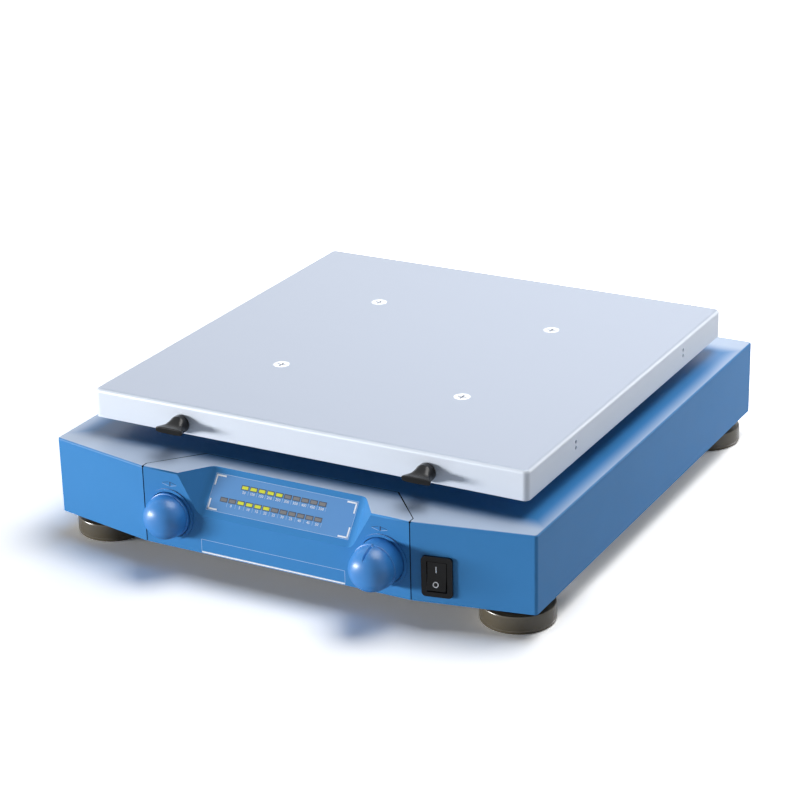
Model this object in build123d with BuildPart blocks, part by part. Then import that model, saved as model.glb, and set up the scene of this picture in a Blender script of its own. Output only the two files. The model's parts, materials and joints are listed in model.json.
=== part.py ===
"""Orbital platform shaker: a low box housing whose crank drive carries a flat square tray in a small circle.

The frame is in millimetres, +Z up, with the origin under the middle of the whole object, on the bench.
The control panel faces -Y.  Every sub-part is built in its place at rest and written as its own STEP file.
"""
from build123d import *
from math import atan2, cos, degrees, hypot, radians, sin
import os

os.makedirs("parts", exist_ok=True)

# ---------------------------------------------------------------- driving dimensions (mm)
# Housing box, seen from above: three flat front facets, two sides and a back
housing_width = 370.0
housing_depth = 397.0
centre_facet_width = 206.0
corner_setback = 16.0
housing_height = 56.0
cover_wall = 3.0
cover_edge_radius = 1.5
cover_corner_radius = 2.5
knob_reach = 28.0

# Feet
foot_pad_diameter = 51.0
foot_pad_height = 13.0
foot_pad_shoulder = 1.2
foot_pad_chamfer = 0.8
foot_neck_diameter = 41.0
foot_neck_height = 5.5
foot_side_inset = 25.5
foot_front_inset = 41.0
foot_back_inset = 25.5
foot_screw_diameter = 6.0
foot_screw_head_diameter = 12.0
foot_screw_head_height = 4.0
foot_screw_lift = 2.0
foot_screw_recess_gap = 1.0
foot_screw_overrun = 2.0
foot_screw_socket = 2.0

# Base plate and what holds the cover to it
base_thickness = 3.0
base_clearance = 0.3
cut_overrun = 1.0
corner_tolerance = 0.01
cover_boss_diameter = 11.0
cover_boss_inset = 13.0
cover_boss_front_inset = 73.5
cover_boss_back_inset = 82.5
cover_boss_back_x = 55.0
cover_screw_diameter = 4.0
cover_screw_head_diameter = 8.0
cover_screw_head_height = 2.4
cover_screw_depth = 12.0
cover_screw_end_gap = 1.0
cover_screw_slot_length = 5.6
cover_screw_slot_width = 0.8
cover_screw_slot_depth = 1.2

# Orbital drive
orbit_radius = 5.0
rest_phase_deg = -60.0
drive_shaft_diameter = 12.0
drive_bearing_diameter = 28.0
drive_bearing_width = 8.0
drive_block_diameter = 42.0
drive_block_flange = 64.0
drive_collar_diameter = 16.0
drive_disc_diameter = 30.0
block_flange_thickness = 5.0
shaft_bore_gap = 3.0
guide_bore_gap = 2.0
shaft_foot_lift = 1.0
disc_thickness = 5.0
disc_below_top = 1.0
opening_gap = 2.0
upstand_wall = 3.0
upstand_height = 3.0
guide_shaft_diameter = 8.0
guide_bearing_diameter = 22.0
guide_bearing_width = 7.0
bearing_land_share = 0.14
bearing_recess_share = 0.06
guide_block_diameter = 32.0
guide_block_flange = 50.0
guide_collar_diameter = 12.0
guide_disc_diameter = 24.0
guide_side_inset = 70.0
guide_front_offset = -85.0
guide_rear_offset = 128.0
block_screw_diameter = 4.0
block_screw_head_diameter = 7.0
block_screw_head_height = 3.0
pulley_diameter = 72.0
pulley_width = 7.0
pulley_lift = 1.0
pulley_recess_depth = 2.0
pulley_rim = 6.0
motor_pulley_diameter = 24.0
belt_thickness = 1.5
belt_side_margin = 0.5
counterweight_radius = 38.0
counterweight_thickness = 7.5
counterweight_gap = 1.5
running_fit = 0.05
seat_fit = 0.02
face_gap = 0.3

# Motor
motor_offset_x = -80.0
motor_offset_y = 68.0
motor_diameter = 64.0
motor_pulley_gap = 4.5
motor_edge_radius = 1.5
motor_wall = 2.5
motor_flange_diameter = 78.0
motor_flange_thickness = 3.0
stator_wall = 9.0
stator_margin = 4.0
rotor_gap = 0.6
stator_slot_depth = 5.4
stator_slot_length = 2.25
stator_slot_width = 2.7
stator_slot_count = 6
motor_shaft_diameter = 6.0
motor_shaft_overrun = 1.0
motor_bearing_diameter = 16.0
motor_bearing_width = 4.0
motor_screw_diameter = 3.0
motor_screw_head_diameter = 5.5
motor_screw_head_height = 2.0

# Tray
tray_size = 334.0
tray_height = 21.0
tray_gap = 12.5
tray_wall = 3.0
tray_corner_radius = 4.0
tray_edge_radius = 2.8
tray_screw_spacing = 144.0
tray_screw_diameter = 6.0
tray_screw_head_diameter = 12.0
tray_screw_reach = 12.0
tray_screw_cross_length = 6.6
tray_screw_cross_width = 1.56
tray_screw_cross_depth = 2.1
tray_screw_cross_taper_deg = 12.0
side_hole_diameter = 2.6
side_hole_pair_gap = 4.3
side_hole_spacing = 187.0
side_hole_drop = 9.8
clamp_spacing = 190.0
clamp_drop = 13.5
clamp_hub_diameter = 13.0
clamp_hub_length = 5.0
clamp_wing_width = 21.0
clamp_wing_thickness = 4.5
clamp_wing_length = 6.0
clamp_length = 16.5
clamp_stud_diameter = 6.0
clamp_stud_length = 16.0
clamp_stud_end_gap = 0.5
clamp_stud_chamfer = 0.6
clamp_nut_size = 13.0
clamp_nut_thickness = 8.0

# Carrier under the tray
carrier_width = 274.0
carrier_front = 108.0
carrier_back = 150.0
carrier_thickness = 6.0
carrier_lift = 4.0
carrier_corner_radius = 20.0
carrier_window_width = 40.0
carrier_window_length = 40.0
carrier_window_x = 36.0
carrier_window_front_y = -60.0
carrier_window_rear_y = 64.0
carrier_window_radius = 6.0
hub_clearance = 2.5
hub_height = 12.0
hub_wall = 5.0
post_diameter = 16.0
pin_overrun = 2.0
pin_bore_gap = 2.0

# Control panel (fascia)
panel_wall = 3.0
panel_gap = 0.8
panel_side_depth = 5.2
panel_top_depth = 37.5
panel_back_width = 150.0
scoop_bottom_height = 28.0
scoop_depth = 21.5
scoop_front_half_width = 75.0
scoop_back_half_width = 59.0
scoop_corner_radius = 8.0
window_width = 110.0
window_foot_inset = 5.0
window_top_inset = 4.3
window_thickness = 0.8
panel_foot_depth = 14.0
panel_foot_thickness = 2.5
panel_foot_width = 120.0
panel_foot_overlap = 1.0
panel_screw_x = 45.0
panel_screw_inset = 9.8
panel_screw_diameter = 3.0
panel_screw_head_diameter = 5.6
panel_screw_head_height = 2.2

# Display
led_pitch = 6.65
led_width = 5.2
led_height = 2.6
led_depth = 3.6
speed_row_height = 24.6
timer_row_height = 13.9
speed_row_start = -30.3
speed_led_count = 10
speed_lit_count = 5
timer_led_count = 12
timer_lead_count = 2
timer_lit_count = 4
led_slot_margin = 0.4
board_thickness = 1.6
board_margin = 3.0

# Knobs, their potentiometers and latching switches
knob_side_inset = 21.0
knob_height = 24.5
knob_diameter = 32.0
knob_dome_height = 16.0
knob_rim_step = 0.6
knob_travel = 8.5
knob_wall = 2.5
knob_hub_diameter = 11.0
knob_hole_gap = 0.5
knob_collar_width = 2.0
knob_collar_height = 1.0
knob_pointer_width = 1.2
knob_pointer_depth = 1.0
knob_pointer_start = 4.8
knob_shoulder_share = 0.72
knob_crown_share = 0.62
speed_pointer_deg = 225.0
timer_pointer_deg = 90.0
pot_bracket_setback = 22.0
pot_bracket_thickness = 1.5
pot_bracket_height = 22.0
pot_bracket_side_gap = 5.0
pot_bracket_tower_width = 30.0
pot_bracket_tower_rise = 14.0
pot_bracket_foot = 12.0
pot_shaft_diameter = 6.0
pot_bush_diameter = 9.0
pot_bush_length = 4.0
pot_nut_diameter = 14.0
pot_nut_thickness = 2.5
pot_diameter = 23.0
pot_length = 11.0
latch_size = 20.0
latch_length = 22.0
latch_wall = 2.5
slider_length = 5.0
slider_clearance = 0.3
shaft_collar_width = 1.5
shaft_collar_thickness = 1.0

# Mains switch on the right front facet
switch_along_facet = 17.8
switch_height_above_base = 19.5
switch_frame_width = 21.0
switch_frame_height = 28.6
switch_frame_thickness = 2.0
switch_frame_radius = 3.0
switch_frame_edge_radius = 0.2
switch_body_width = 18.4
switch_body_height = 25.6
switch_body_depth = 22.0
switch_well_width = 13.6
switch_well_height = 21.6
switch_well_depth = 13.0
rocker_side_gap = 0.4
rocker_height = 19.6
rocker_swing_deg = 14.0
rocker_end_rise = 1.2
rocker_centre_sink = 0.2
rocker_depth = 7.4
rocker_pin_diameter = 2.6
rocker_pin_length = 1.0
rocker_pin_end_gap = 0.5
rocker_pivot_depth = 5.4

# Mains inlet in the back wall
inlet_side_inset = 70.0
inlet_flange_width = 50.0
inlet_flange_height = 24.0
inlet_flange_thickness = 3.0
inlet_flange_radius = 4.0
inlet_body_width = 28.0
inlet_body_height = 20.5
inlet_body_depth = 19.0
inlet_cavity_width = 24.0
inlet_cavity_height = 16.5
inlet_cavity_depth = 17.0
inlet_pin_length = 11.0
inlet_pin_width = 4.0
inlet_pin_thickness = 2.0
inlet_pin_spacing = 7.0
inlet_earth_rise = 4.0
inlet_line_drop = 2.0
inlet_tab_length = 7.0
inlet_screw_spacing = 40.0
inlet_screw_diameter = 3.0
inlet_screw_overrun = 2.0

# Transformer and control board
transformer_side_inset = 85.0
transformer_back_inset = 104.5
transformer_diameter = 84.0
transformer_bore = 28.0
transformer_headroom = 7.0
transformer_round = 8.0
transformer_washer_diameter = 44.0
transformer_washer_thickness = 2.0
transformer_bolt_diameter = 6.0
transformer_bolt_head_height = 2.0
transformer_nut_diameter = 11.0
transformer_nut_height = 5.0
board_transformer_gap = 16.0
control_board_width = 100.0
control_board_length = 76.0
standoff_height = 8.0
standoff_diameter = 6.0
standoff_inset = 5.0
capacitor_diameter = 18.0
capacitor_height = 24.0
capacitor_offsets = [(-30.0, -18.0), (-8.0, -18.0)]
heat_sink_width = 40.0
heat_sink_depth = 12.0
heat_sink_height = 20.0
heat_sink_offset = (22.0, -20.0)
heat_sink_slot_count = 7
heat_sink_slot_depth = 6.0
heat_sink_web = 1.2
terminal_width = 34.0
terminal_depth = 10.0
terminal_height = 12.0
terminal_offsets = [(-20.0, 26.0), (22.0, 26.0)]

# Wiring
mains_lead_diameter = 5.0
motor_lead_diameter = 4.0
lead_lift = 0.2
lead_bend_radius = 7.0
lead_straight_end = 16.0

# ---------------------------------------------------------------- places worked out from the sizes
overall_depth = housing_depth + knob_reach
back_y = overall_depth / 2
front_y = back_y - housing_depth
side_x = housing_width / 2
facet_x = centre_facet_width / 2
corner_y = front_y + corner_setback
facet_angle = degrees(atan2(corner_setback, side_x - facet_x))

base_bottom = foot_pad_height + foot_neck_height
base_top = base_bottom + base_thickness
housing_top = base_bottom + housing_height
cover_inner_top = housing_top - cover_wall
housing_mid = base_bottom + housing_height / 2

tray_bottom = housing_top + tray_gap
tray_top = tray_bottom + tray_height
tray_inner_top = tray_top - tray_wall

drive_y = (corner_y + back_y) / 2
tray_x = orbit_radius * cos(radians(rest_phase_deg))
tray_y = drive_y + orbit_radius * sin(radians(rest_phase_deg))
tray_front = tray_y - tray_size / 2
guide_places = {
    "left": (guide_side_inset - side_x, drive_y + guide_front_offset),
    "right": (side_x - guide_side_inset, drive_y + guide_front_offset),
    "rear": (0.0, drive_y + guide_rear_offset),
}

# The drive is stacked downwards from the crank discs, which lie just below the cover's top
disc_top = housing_top - disc_below_top
disc_bottom = disc_top - disc_thickness
counterweight_bottom = disc_bottom - counterweight_gap - counterweight_thickness
pulley_top = counterweight_bottom - counterweight_gap
pulley_bottom = pulley_top - pulley_width
belt_bottom = pulley_bottom + belt_side_margin
belt_width = pulley_width - 2 * belt_side_margin
block_top = pulley_bottom - pulley_lift
block_height = block_top - base_top
upstand_top = housing_top + upstand_height
hub_bottom = upstand_top + hub_clearance
carrier_bottom = hub_bottom + carrier_lift
carrier_top = carrier_bottom + carrier_thickness
drive_hole_radius = drive_disc_diameter / 2 + opening_gap
guide_hole_radius = guide_disc_diameter / 2 + opening_gap

motor_x = motor_offset_x
motor_y = drive_y + motor_offset_y
motor_cap_top = pulley_bottom - motor_pulley_gap
motor_height = motor_cap_top - base_top
clamp_z = tray_top - clamp_drop
side_hole_z = tray_top - side_hole_drop

knob_z = base_bottom + knob_height
knob_x = facet_x - knob_side_inset
bracket_y = front_y + pot_bracket_setback
bracket_width = centre_facet_width - 2 * pot_bracket_side_gap
bracket_back_y = bracket_y + pot_bracket_thickness
pot_back_y = bracket_back_y + pot_length

scoop_rise = housing_height - scoop_bottom_height
slope_length = hypot(scoop_rise, scoop_depth)
window_height = slope_length - window_foot_inset - window_top_inset
window_centre = window_foot_inset + window_height / 2
# Plane of the sloping display: its x runs along the panel, its y up the slope, its normal looks out
display_plane = Plane(
    origin=(0, front_y, base_bottom + scoop_bottom_height),
    x_dir=(1, 0, 0),
    z_dir=(0, -scoop_rise, scoop_depth),
)

inlet_x = side_x - inlet_side_inset
transformer_x = side_x - transformer_side_inset
transformer_y = back_y - transformer_back_inset
transformer_bolt_top = cover_inner_top - transformer_headroom
transformer_top = transformer_bolt_top - transformer_nut_height - transformer_washer_thickness
transformer_height = transformer_top - base_top
control_board_x = transformer_x
control_board_y = transformer_y - transformer_diameter / 2 - board_transformer_gap - control_board_length / 2
switch_x = facet_x + switch_along_facet * cos(radians(facet_angle))
switch_y = front_y + switch_along_facet * sin(radians(facet_angle))
switch_z = base_bottom + switch_height_above_base
# Plane on the right front facet at the switch: x along the facet, y up, normal out of the facet
switch_plane = Plane(
    origin=(switch_x, switch_y, switch_z),
    x_dir=(cos(radians(facet_angle)), sin(radians(facet_angle)), 0),
    z_dir=(sin(radians(facet_angle)), -cos(radians(facet_angle)), 0),
)

front_plane = Plane(origin=(0, front_y, 0), x_dir=(1, 0, 0), z_dir=(0, -1, 0))
clamp_plane = Plane(origin=(tray_x, tray_front, clamp_z), x_dir=(1, 0, 0), z_dir=(0, -1, 0))
back_plane = Plane(origin=(0, back_y, 0), x_dir=(-1, 0, 0), z_dir=(0, 1, 0))

foot_places = [
    (sx * (side_x - foot_side_inset), y)
    for sx in (-1, 1)
    for y in (front_y + foot_front_inset, back_y - foot_back_inset)
]
cover_screw_places = [
    (sx * (side_x - cover_boss_inset), y)
    for sx in (-1, 1)
    for y in (corner_y + cover_boss_front_inset, back_y - cover_boss_back_inset)
] + [(sx * cover_boss_back_x, back_y - cover_boss_inset) for sx in (-1, 1)]


def save(name, builder):
    """Label the finished sub-part and write it as its own STEP file."""
    builder.part.label = name
    export_step(builder.part, f"parts/{name}.step")


def housing_points():
    """Corners of the housing seen from above, anticlockwise from the back left."""
    return [
        (-side_x, back_y),
        (-side_x, corner_y),
        (-facet_x, front_y),
        (facet_x, front_y),
        (side_x, corner_y),
        (side_x, back_y),
    ]


def panel_points(gap):
    """Corners of the control panel seen from above, drawn in by a gap where it meets the cover."""
    side = facet_x - gap
    back = front_y + panel_top_depth - gap
    return [
        (-side, front_y),
        (-side, front_y + panel_side_depth),
        (-panel_back_width / 2 + gap, back),
        (panel_back_width / 2 - gap, back),
        (side, front_y + panel_side_depth),
        (side, front_y),
    ]


def face_of(points):
    """Fill a closed outline in the sketch that is open."""
    with BuildLine() as outline:
        Polyline(*points, close=True)
    make_face(outline.edges())


def is_slope_corner(edge, slope):
    """Say whether an edge runs up the slope, where the slope turns into one of its two side planes."""
    ends = [slope.to_local_coords(edge @ share) for share in (0, 1)]
    runs_up = abs(ends[0].Y - ends[1].Y) > abs(ends[0].X - ends[1].X)
    return runs_up and all(abs(end.Z) < corner_tolerance for end in ends)


def scoop_cut(grow):
    """The space in front of the sloping display, with its planes and rounded corners moved outwards by grow."""
    # each side plane passes the scoop's front top, front bottom and back top corners on that side
    side_run = scoop_front_half_width - scoop_back_half_width
    normal = Vector(side_run, 0, -scoop_rise).cross(Vector(side_run, scoop_depth, 0)).normalized()
    left_side = Plane(origin=(-scoop_front_half_width, front_y, housing_top), z_dir=normal)
    right_side = Plane(
        origin=(scoop_front_half_width, front_y, housing_top), z_dir=(-normal.X, normal.Y, normal.Z)
    )
    with BuildPart() as space:
        with Locations((0, front_y, housing_top)):
            Box(centre_facet_width, 4 * scoop_depth, 2.5 * scoop_rise)
        for side in (display_plane, left_side, right_side):
            split(bisect_by=side.offset(-grow), keep=Keep.TOP)
        slope_corners = [edge for edge in space.edges() if is_slope_corner(edge, display_plane.offset(-grow))]
        fillet(slope_corners, radius=scoop_corner_radius + grow)
    return space.part


# ================================================================ housing
# Cover: blue shell, open below, with bosses for the screws from below and upstands round the drive openings
with BuildPart() as housing_cover:
    with BuildSketch(Plane.XY.offset(base_bottom)):
        face_of(housing_points())
    extrude(amount=housing_height)
    corner_edges = housing_cover.edges().filter_by(Axis.Z)
    fillet(corner_edges, radius=cover_corner_radius)
    fillet(housing_cover.faces().sort_by(Axis.Z)[-1].edges(), radius=cover_edge_radius)
    with BuildSketch(Plane.XY.offset(base_bottom)):
        face_of(housing_points())
        offset(amount=-cover_wall, kind=Kind.INTERSECTION, mode=Mode.REPLACE)
    extrude(amount=housing_height - cover_wall, mode=Mode.SUBTRACT)
    # screw bosses
    with BuildSketch(Plane.XY.offset(base_top)):
        with Locations(*cover_screw_places):
            Circle(cover_boss_diameter / 2)
    extrude(amount=cover_inner_top - base_top)
    with Locations(*[(x, y, base_top) for x, y in cover_screw_places]):
        Cylinder(
            cover_screw_diameter / 2 + seat_fit,
            cover_screw_depth,
            align=(Align.CENTER, Align.CENTER, Align.MIN),
            mode=Mode.SUBTRACT,
        )
    # opening for the control panel
    with BuildSketch(Plane.XY.offset(base_bottom)):
        face_of(panel_points(0))
        with Locations((0, front_y)):
            Rectangle(centre_facet_width, 2 * panel_side_depth)
    extrude(amount=housing_height, mode=Mode.SUBTRACT)
    # openings for the cranks, each with an upstand against spills
    with BuildSketch(Plane.XY.offset(housing_top)):
        with Locations((0, drive_y)):
            Circle(drive_hole_radius + upstand_wall)
        with Locations(*guide_places.values()):
            Circle(guide_hole_radius + upstand_wall)
    extrude(amount=upstand_height)
    with BuildSketch(Plane.XY.offset(cover_inner_top)):
        with Locations((0, drive_y)):
            Circle(drive_hole_radius)
        with Locations(*guide_places.values()):
            Circle(guide_hole_radius)
    extrude(amount=upstand_top - cover_inner_top, mode=Mode.SUBTRACT)
    # opening for the mains switch in the right front facet
    with BuildSketch(switch_plane.offset(cut_overrun)):
        Rectangle(switch_body_width + 2 * seat_fit, switch_body_height + 2 * seat_fit)
    extrude(amount=-(cover_wall + 2 * cut_overrun), mode=Mode.SUBTRACT)
    # opening and screw holes for the mains inlet in the back wall
    with BuildSketch(back_plane.offset(cut_overrun)):
        with Locations((-inlet_x, housing_mid)):
            Rectangle(inlet_body_width + 2 * seat_fit, inlet_body_height + 2 * seat_fit)
            with GridLocations(inlet_screw_spacing, 1, 2, 1):
                Circle(inlet_screw_diameter / 2 + seat_fit)
    extrude(amount=-(cover_wall + 2 * cut_overrun), mode=Mode.SUBTRACT)
save("housing_cover", housing_cover)

# Base plate: closes the cover from below and carries everything inside
with BuildPart() as base_plate:
    with BuildSketch(Plane.XY.offset(base_bottom)):
        face_of(housing_points())
        offset(amount=-(cover_wall + base_clearance), kind=Kind.INTERSECTION, mode=Mode.REPLACE)
    extrude(amount=base_thickness)
    with BuildSketch(Plane.XY.offset(base_bottom)):
        with Locations(*cover_screw_places):
            Circle(cover_screw_diameter / 2 + 2 * seat_fit)
        with Locations(*foot_places):
            Circle(foot_screw_diameter / 2 + seat_fit)
        with Locations((0, drive_y)):
            Circle((drive_shaft_diameter + drive_bearing_diameter) / 4)
        with Locations(*guide_places.values()):
            Circle((guide_shaft_diameter + guide_bearing_diameter) / 4)
        with Locations((transformer_x, transformer_y)):
            Circle(transformer_bolt_diameter / 2 + seat_fit)
    extrude(amount=base_thickness, mode=Mode.SUBTRACT)
save("base_plate", base_plate)

# Cover screws, from below
with BuildPart() as cover_screws:
    with BuildSketch(Plane.XY.offset(base_bottom - cover_screw_head_height)):
        with Locations(*cover_screw_places):
            Circle(cover_screw_head_diameter / 2)
    extrude(amount=cover_screw_head_height)
    with BuildSketch(Plane.XY.offset(base_bottom)):
        with Locations(*cover_screw_places):
            Circle(cover_screw_diameter / 2)
    extrude(amount=base_thickness + cover_screw_depth - cover_screw_end_gap)
    with BuildSketch(Plane.XY.offset(base_bottom - cover_screw_head_height)):
        with Locations(*cover_screw_places):
            Rectangle(cover_screw_slot_length, cover_screw_slot_width)
    extrude(amount=cover_screw_slot_depth, mode=Mode.SUBTRACT)
save("cover_screws", cover_screws)

# Feet: a rubber pad under a stiff neck, each held by one screw through the base plate
with BuildPart() as foot_necks:
    with BuildSketch(Plane.XY.offset(foot_pad_height)):
        with Locations(*foot_places):
            Circle(foot_neck_diameter / 2)
            Circle(foot_screw_diameter / 2 + seat_fit, mode=Mode.SUBTRACT)
    extrude(amount=foot_neck_height)
save("foot_necks", foot_necks)

with BuildPart() as foot_pads:
    with BuildSketch():
        with Locations(*foot_places):
            Circle(foot_pad_diameter / 2)
    extrude(amount=foot_pad_height)
    fillet(foot_pads.edges().group_by(Axis.Z)[-1], radius=foot_pad_shoulder)
    chamfer(foot_pads.edges().group_by(Axis.Z)[0], length=foot_pad_chamfer)
    with BuildSketch():
        with Locations(*foot_places):
            Circle(foot_screw_diameter / 2 + seat_fit)
    extrude(amount=foot_pad_height, mode=Mode.SUBTRACT)
    with BuildSketch():
        with Locations(*foot_places):
            Circle(foot_screw_head_diameter / 2 + foot_screw_recess_gap)
    extrude(amount=foot_screw_lift + foot_screw_head_height, mode=Mode.SUBTRACT)
save("foot_pads", foot_pads)

with BuildPart() as foot_screws:
    with BuildSketch(Plane.XY.offset(foot_screw_lift)):
        with Locations(*foot_places):
            Circle(foot_screw_head_diameter / 2)
    extrude(amount=foot_screw_head_height)
    with BuildSketch(Plane.XY.offset(foot_screw_lift + foot_screw_head_height)):
        with Locations(*foot_places):
            Circle(foot_screw_diameter / 2)
    extrude(amount=base_top + foot_screw_overrun - foot_screw_lift - foot_screw_head_height)
    with BuildSketch(Plane.XY.offset(foot_screw_lift)):
        with Locations(*foot_places):
            RegularPolygon(foot_screw_socket, 6)
    extrude(amount=foot_screw_head_height / 2, mode=Mode.SUBTRACT)
save("foot_screws", foot_screws)

# ================================================================ orbital drive, fixed pieces
with BuildPart() as drive_block:
    with BuildSketch(Plane.XY.offset(base_top)):
        with Locations((0, drive_y)):
            Circle(drive_block_flange / 2)
    extrude(amount=block_flange_thickness)
    with BuildSketch(Plane.XY.offset(base_top)):
        with Locations((0, drive_y)):
            Circle(drive_block_diameter / 2)
    extrude(amount=block_height)
    with BuildSketch(Plane.XY.offset(base_top)):
        with Locations((0, drive_y)):
            Circle(drive_shaft_diameter / 2 + shaft_bore_gap)
            with PolarLocations((drive_block_flange + drive_block_diameter) / 4, 4, start_angle=45):
                Circle(block_screw_diameter / 2 + seat_fit)
    extrude(amount=block_height, mode=Mode.SUBTRACT)
    for seat_bottom in (base_top, block_top - drive_bearing_width):
        with BuildSketch(Plane.XY.offset(seat_bottom)):
            with Locations((0, drive_y)):
                Circle(drive_bearing_diameter / 2 + seat_fit)
        extrude(amount=drive_bearing_width, mode=Mode.SUBTRACT)
save("drive_block", drive_block)

with BuildPart() as guide_blocks:
    with BuildSketch(Plane.XY.offset(base_top)):
        with Locations(*guide_places.values()):
            Circle(guide_block_flange / 2)
    extrude(amount=block_flange_thickness)
    with BuildSketch(Plane.XY.offset(base_top)):
        with Locations(*guide_places.values()):
            Circle(guide_block_diameter / 2)
    extrude(amount=block_height)
    with BuildSketch(Plane.XY.offset(base_top)):
        with Locations(*guide_places.values()):
            Circle(guide_shaft_diameter / 2 + guide_bore_gap)
            with PolarLocations((guide_block_flange + guide_block_diameter) / 4, 3, start_angle=90):
                Circle(block_screw_diameter / 2 + seat_fit)
    extrude(amount=block_height, mode=Mode.SUBTRACT)
    for seat_bottom in (base_top, block_top - guide_bearing_width):
        with BuildSketch(Plane.XY.offset(seat_bottom)):
            with Locations(*guide_places.values()):
                Circle(guide_bearing_diameter / 2 + seat_fit)
        extrude(amount=guide_bearing_width, mode=Mode.SUBTRACT)
save("guide_blocks", guide_blocks)


def bearing_profile(outer, inner, width):
    """Half section of a ball bearing, in a plane whose x is the radius, with shallow seal recesses."""
    land = (outer - inner) * bearing_land_share
    recess = width * bearing_recess_share
    points = [
        (inner, 0),
        (inner + land, 0),
        (inner + land, recess),
        (outer - land, recess),
        (outer - land, 0),
        (outer, 0),
        (outer, width),
        (outer - land, width),
        (outer - land, width - recess),
        (inner + land, width - recess),
        (inner + land, width),
        (inner, width),
    ]
    face_of(points)


def bearing(outer_diameter, shaft_diameter, width):
    """A ball bearing standing on the XY plane, bored for a running fit on its shaft."""
    with BuildPart() as ring:
        with BuildSketch(Plane.XZ):
            bearing_profile(outer_diameter / 2, shaft_diameter / 2 + running_fit, width)
        revolve(axis=Axis.Z)
    return ring.part


drive_bearing = bearing(drive_bearing_diameter, drive_shaft_diameter, drive_bearing_width)
guide_bearing = bearing(guide_bearing_diameter, guide_shaft_diameter, guide_bearing_width)

with BuildPart() as block_bearings:
    with Locations((0, drive_y, base_top), (0, drive_y, block_top - drive_bearing_width)):
        add(drive_bearing)
    for x, y in guide_places.values():
        with Locations((x, y, base_top), (x, y, block_top - guide_bearing_width)):
            add(guide_bearing)
save("block_bearings", block_bearings)

with BuildPart() as block_screws:
    with BuildSketch(Plane.XY.offset(base_top + block_flange_thickness)):
        with Locations((0, drive_y)):
            with PolarLocations((drive_block_flange + drive_block_diameter) / 4, 4, start_angle=45):
                Circle(block_screw_head_diameter / 2)
        with Locations(*guide_places.values()):
            with PolarLocations((guide_block_flange + guide_block_diameter) / 4, 3, start_angle=90):
                Circle(block_screw_head_diameter / 2)
    extrude(amount=block_screw_head_height)
    with BuildSketch(Plane.XY.offset(base_top)):
        with Locations((0, drive_y)):
            with PolarLocations((drive_block_flange + drive_block_diameter) / 4, 4, start_angle=45):
                Circle(block_screw_diameter / 2)
        with Locations(*guide_places.values()):
            with PolarLocations((guide_block_flange + guide_block_diameter) / 4, 3, start_angle=90):
                Circle(block_screw_diameter / 2)
    extrude(amount=block_flange_thickness)
save("block_screws", block_screws)

# ================================================================ orbital drive, turning pieces
with BuildPart() as drive_shaft:
    with Locations((0, drive_y, base_bottom + shaft_foot_lift)):
        Cylinder(
            drive_shaft_diameter / 2,
            block_top + face_gap - base_bottom - shaft_foot_lift,
            align=(Align.CENTER, Align.CENTER, Align.MIN),
        )
    with Locations((0, drive_y, block_top + face_gap)):
        Cylinder(
            drive_collar_diameter / 2,
            disc_bottom - block_top - face_gap,
            align=(Align.CENTER, Align.CENTER, Align.MIN),
        )
    with Locations((0, drive_y, disc_bottom)):
        Cylinder(drive_disc_diameter / 2, disc_thickness, align=(Align.CENTER, Align.CENTER, Align.MIN))
    # crank pin, stepped so that the tray's bearing rests on the collar
    with Locations((tray_x, tray_y, disc_top)):
        Cylinder(
            drive_collar_diameter / 2,
            hub_bottom - face_gap - disc_top,
            align=(Align.CENTER, Align.CENTER, Align.MIN),
        )
        Cylinder(
            drive_shaft_diameter / 2,
            hub_bottom + drive_bearing_width + pin_overrun - disc_top,
            align=(Align.CENTER, Align.CENTER, Align.MIN),
        )
save("drive_shaft", drive_shaft)


def guide_crank(name, x, y):
    """One idling crank that keeps the tray from turning: shaft, disc and pin in one piece."""
    with BuildPart() as crank:
        with Locations((x, y, base_bottom + shaft_foot_lift)):
            Cylinder(
                guide_shaft_diameter / 2,
                block_top + face_gap - base_bottom - shaft_foot_lift,
                align=(Align.CENTER, Align.CENTER, Align.MIN),
            )
        with Locations((x, y, block_top + face_gap)):
            Cylinder(
                guide_collar_diameter / 2,
                disc_bottom - block_top - face_gap,
                align=(Align.CENTER, Align.CENTER, Align.MIN),
            )
        with Locations((x, y, disc_bottom)):
            Cylinder(guide_disc_diameter / 2, disc_thickness, align=(Align.CENTER, Align.CENTER, Align.MIN))
        with Locations((x + tray_x, y + tray_y - drive_y, disc_top)):
            Cylinder(
                guide_collar_diameter / 2,
                hub_bottom - face_gap - disc_top,
                align=(Align.CENTER, Align.CENTER, Align.MIN),
            )
            Cylinder(
                guide_shaft_diameter / 2,
                hub_bottom + guide_bearing_width + pin_overrun - disc_top,
                align=(Align.CENTER, Align.CENTER, Align.MIN),
            )
    save(name, crank)


for place, (x, y) in guide_places.items():
    guide_crank(f"guide_crank_{place}", x, y)

with BuildPart() as drive_pulley:
    with BuildSketch(Plane.XY.offset(pulley_bottom)):
        with Locations((0, drive_y)):
            Circle(pulley_diameter / 2)
            Circle(drive_collar_diameter / 2 + seat_fit, mode=Mode.SUBTRACT)
    extrude(amount=pulley_width)
    with BuildSketch(Plane.XY.offset(pulley_top)):
        with Locations((0, drive_y)):
            Circle(pulley_diameter / 2 - pulley_rim)
            Circle(drive_collar_diameter / 2 + pulley_rim, mode=Mode.SUBTRACT)
    extrude(amount=-pulley_recess_depth, mode=Mode.SUBTRACT)
save("drive_pulley", drive_pulley)

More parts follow.
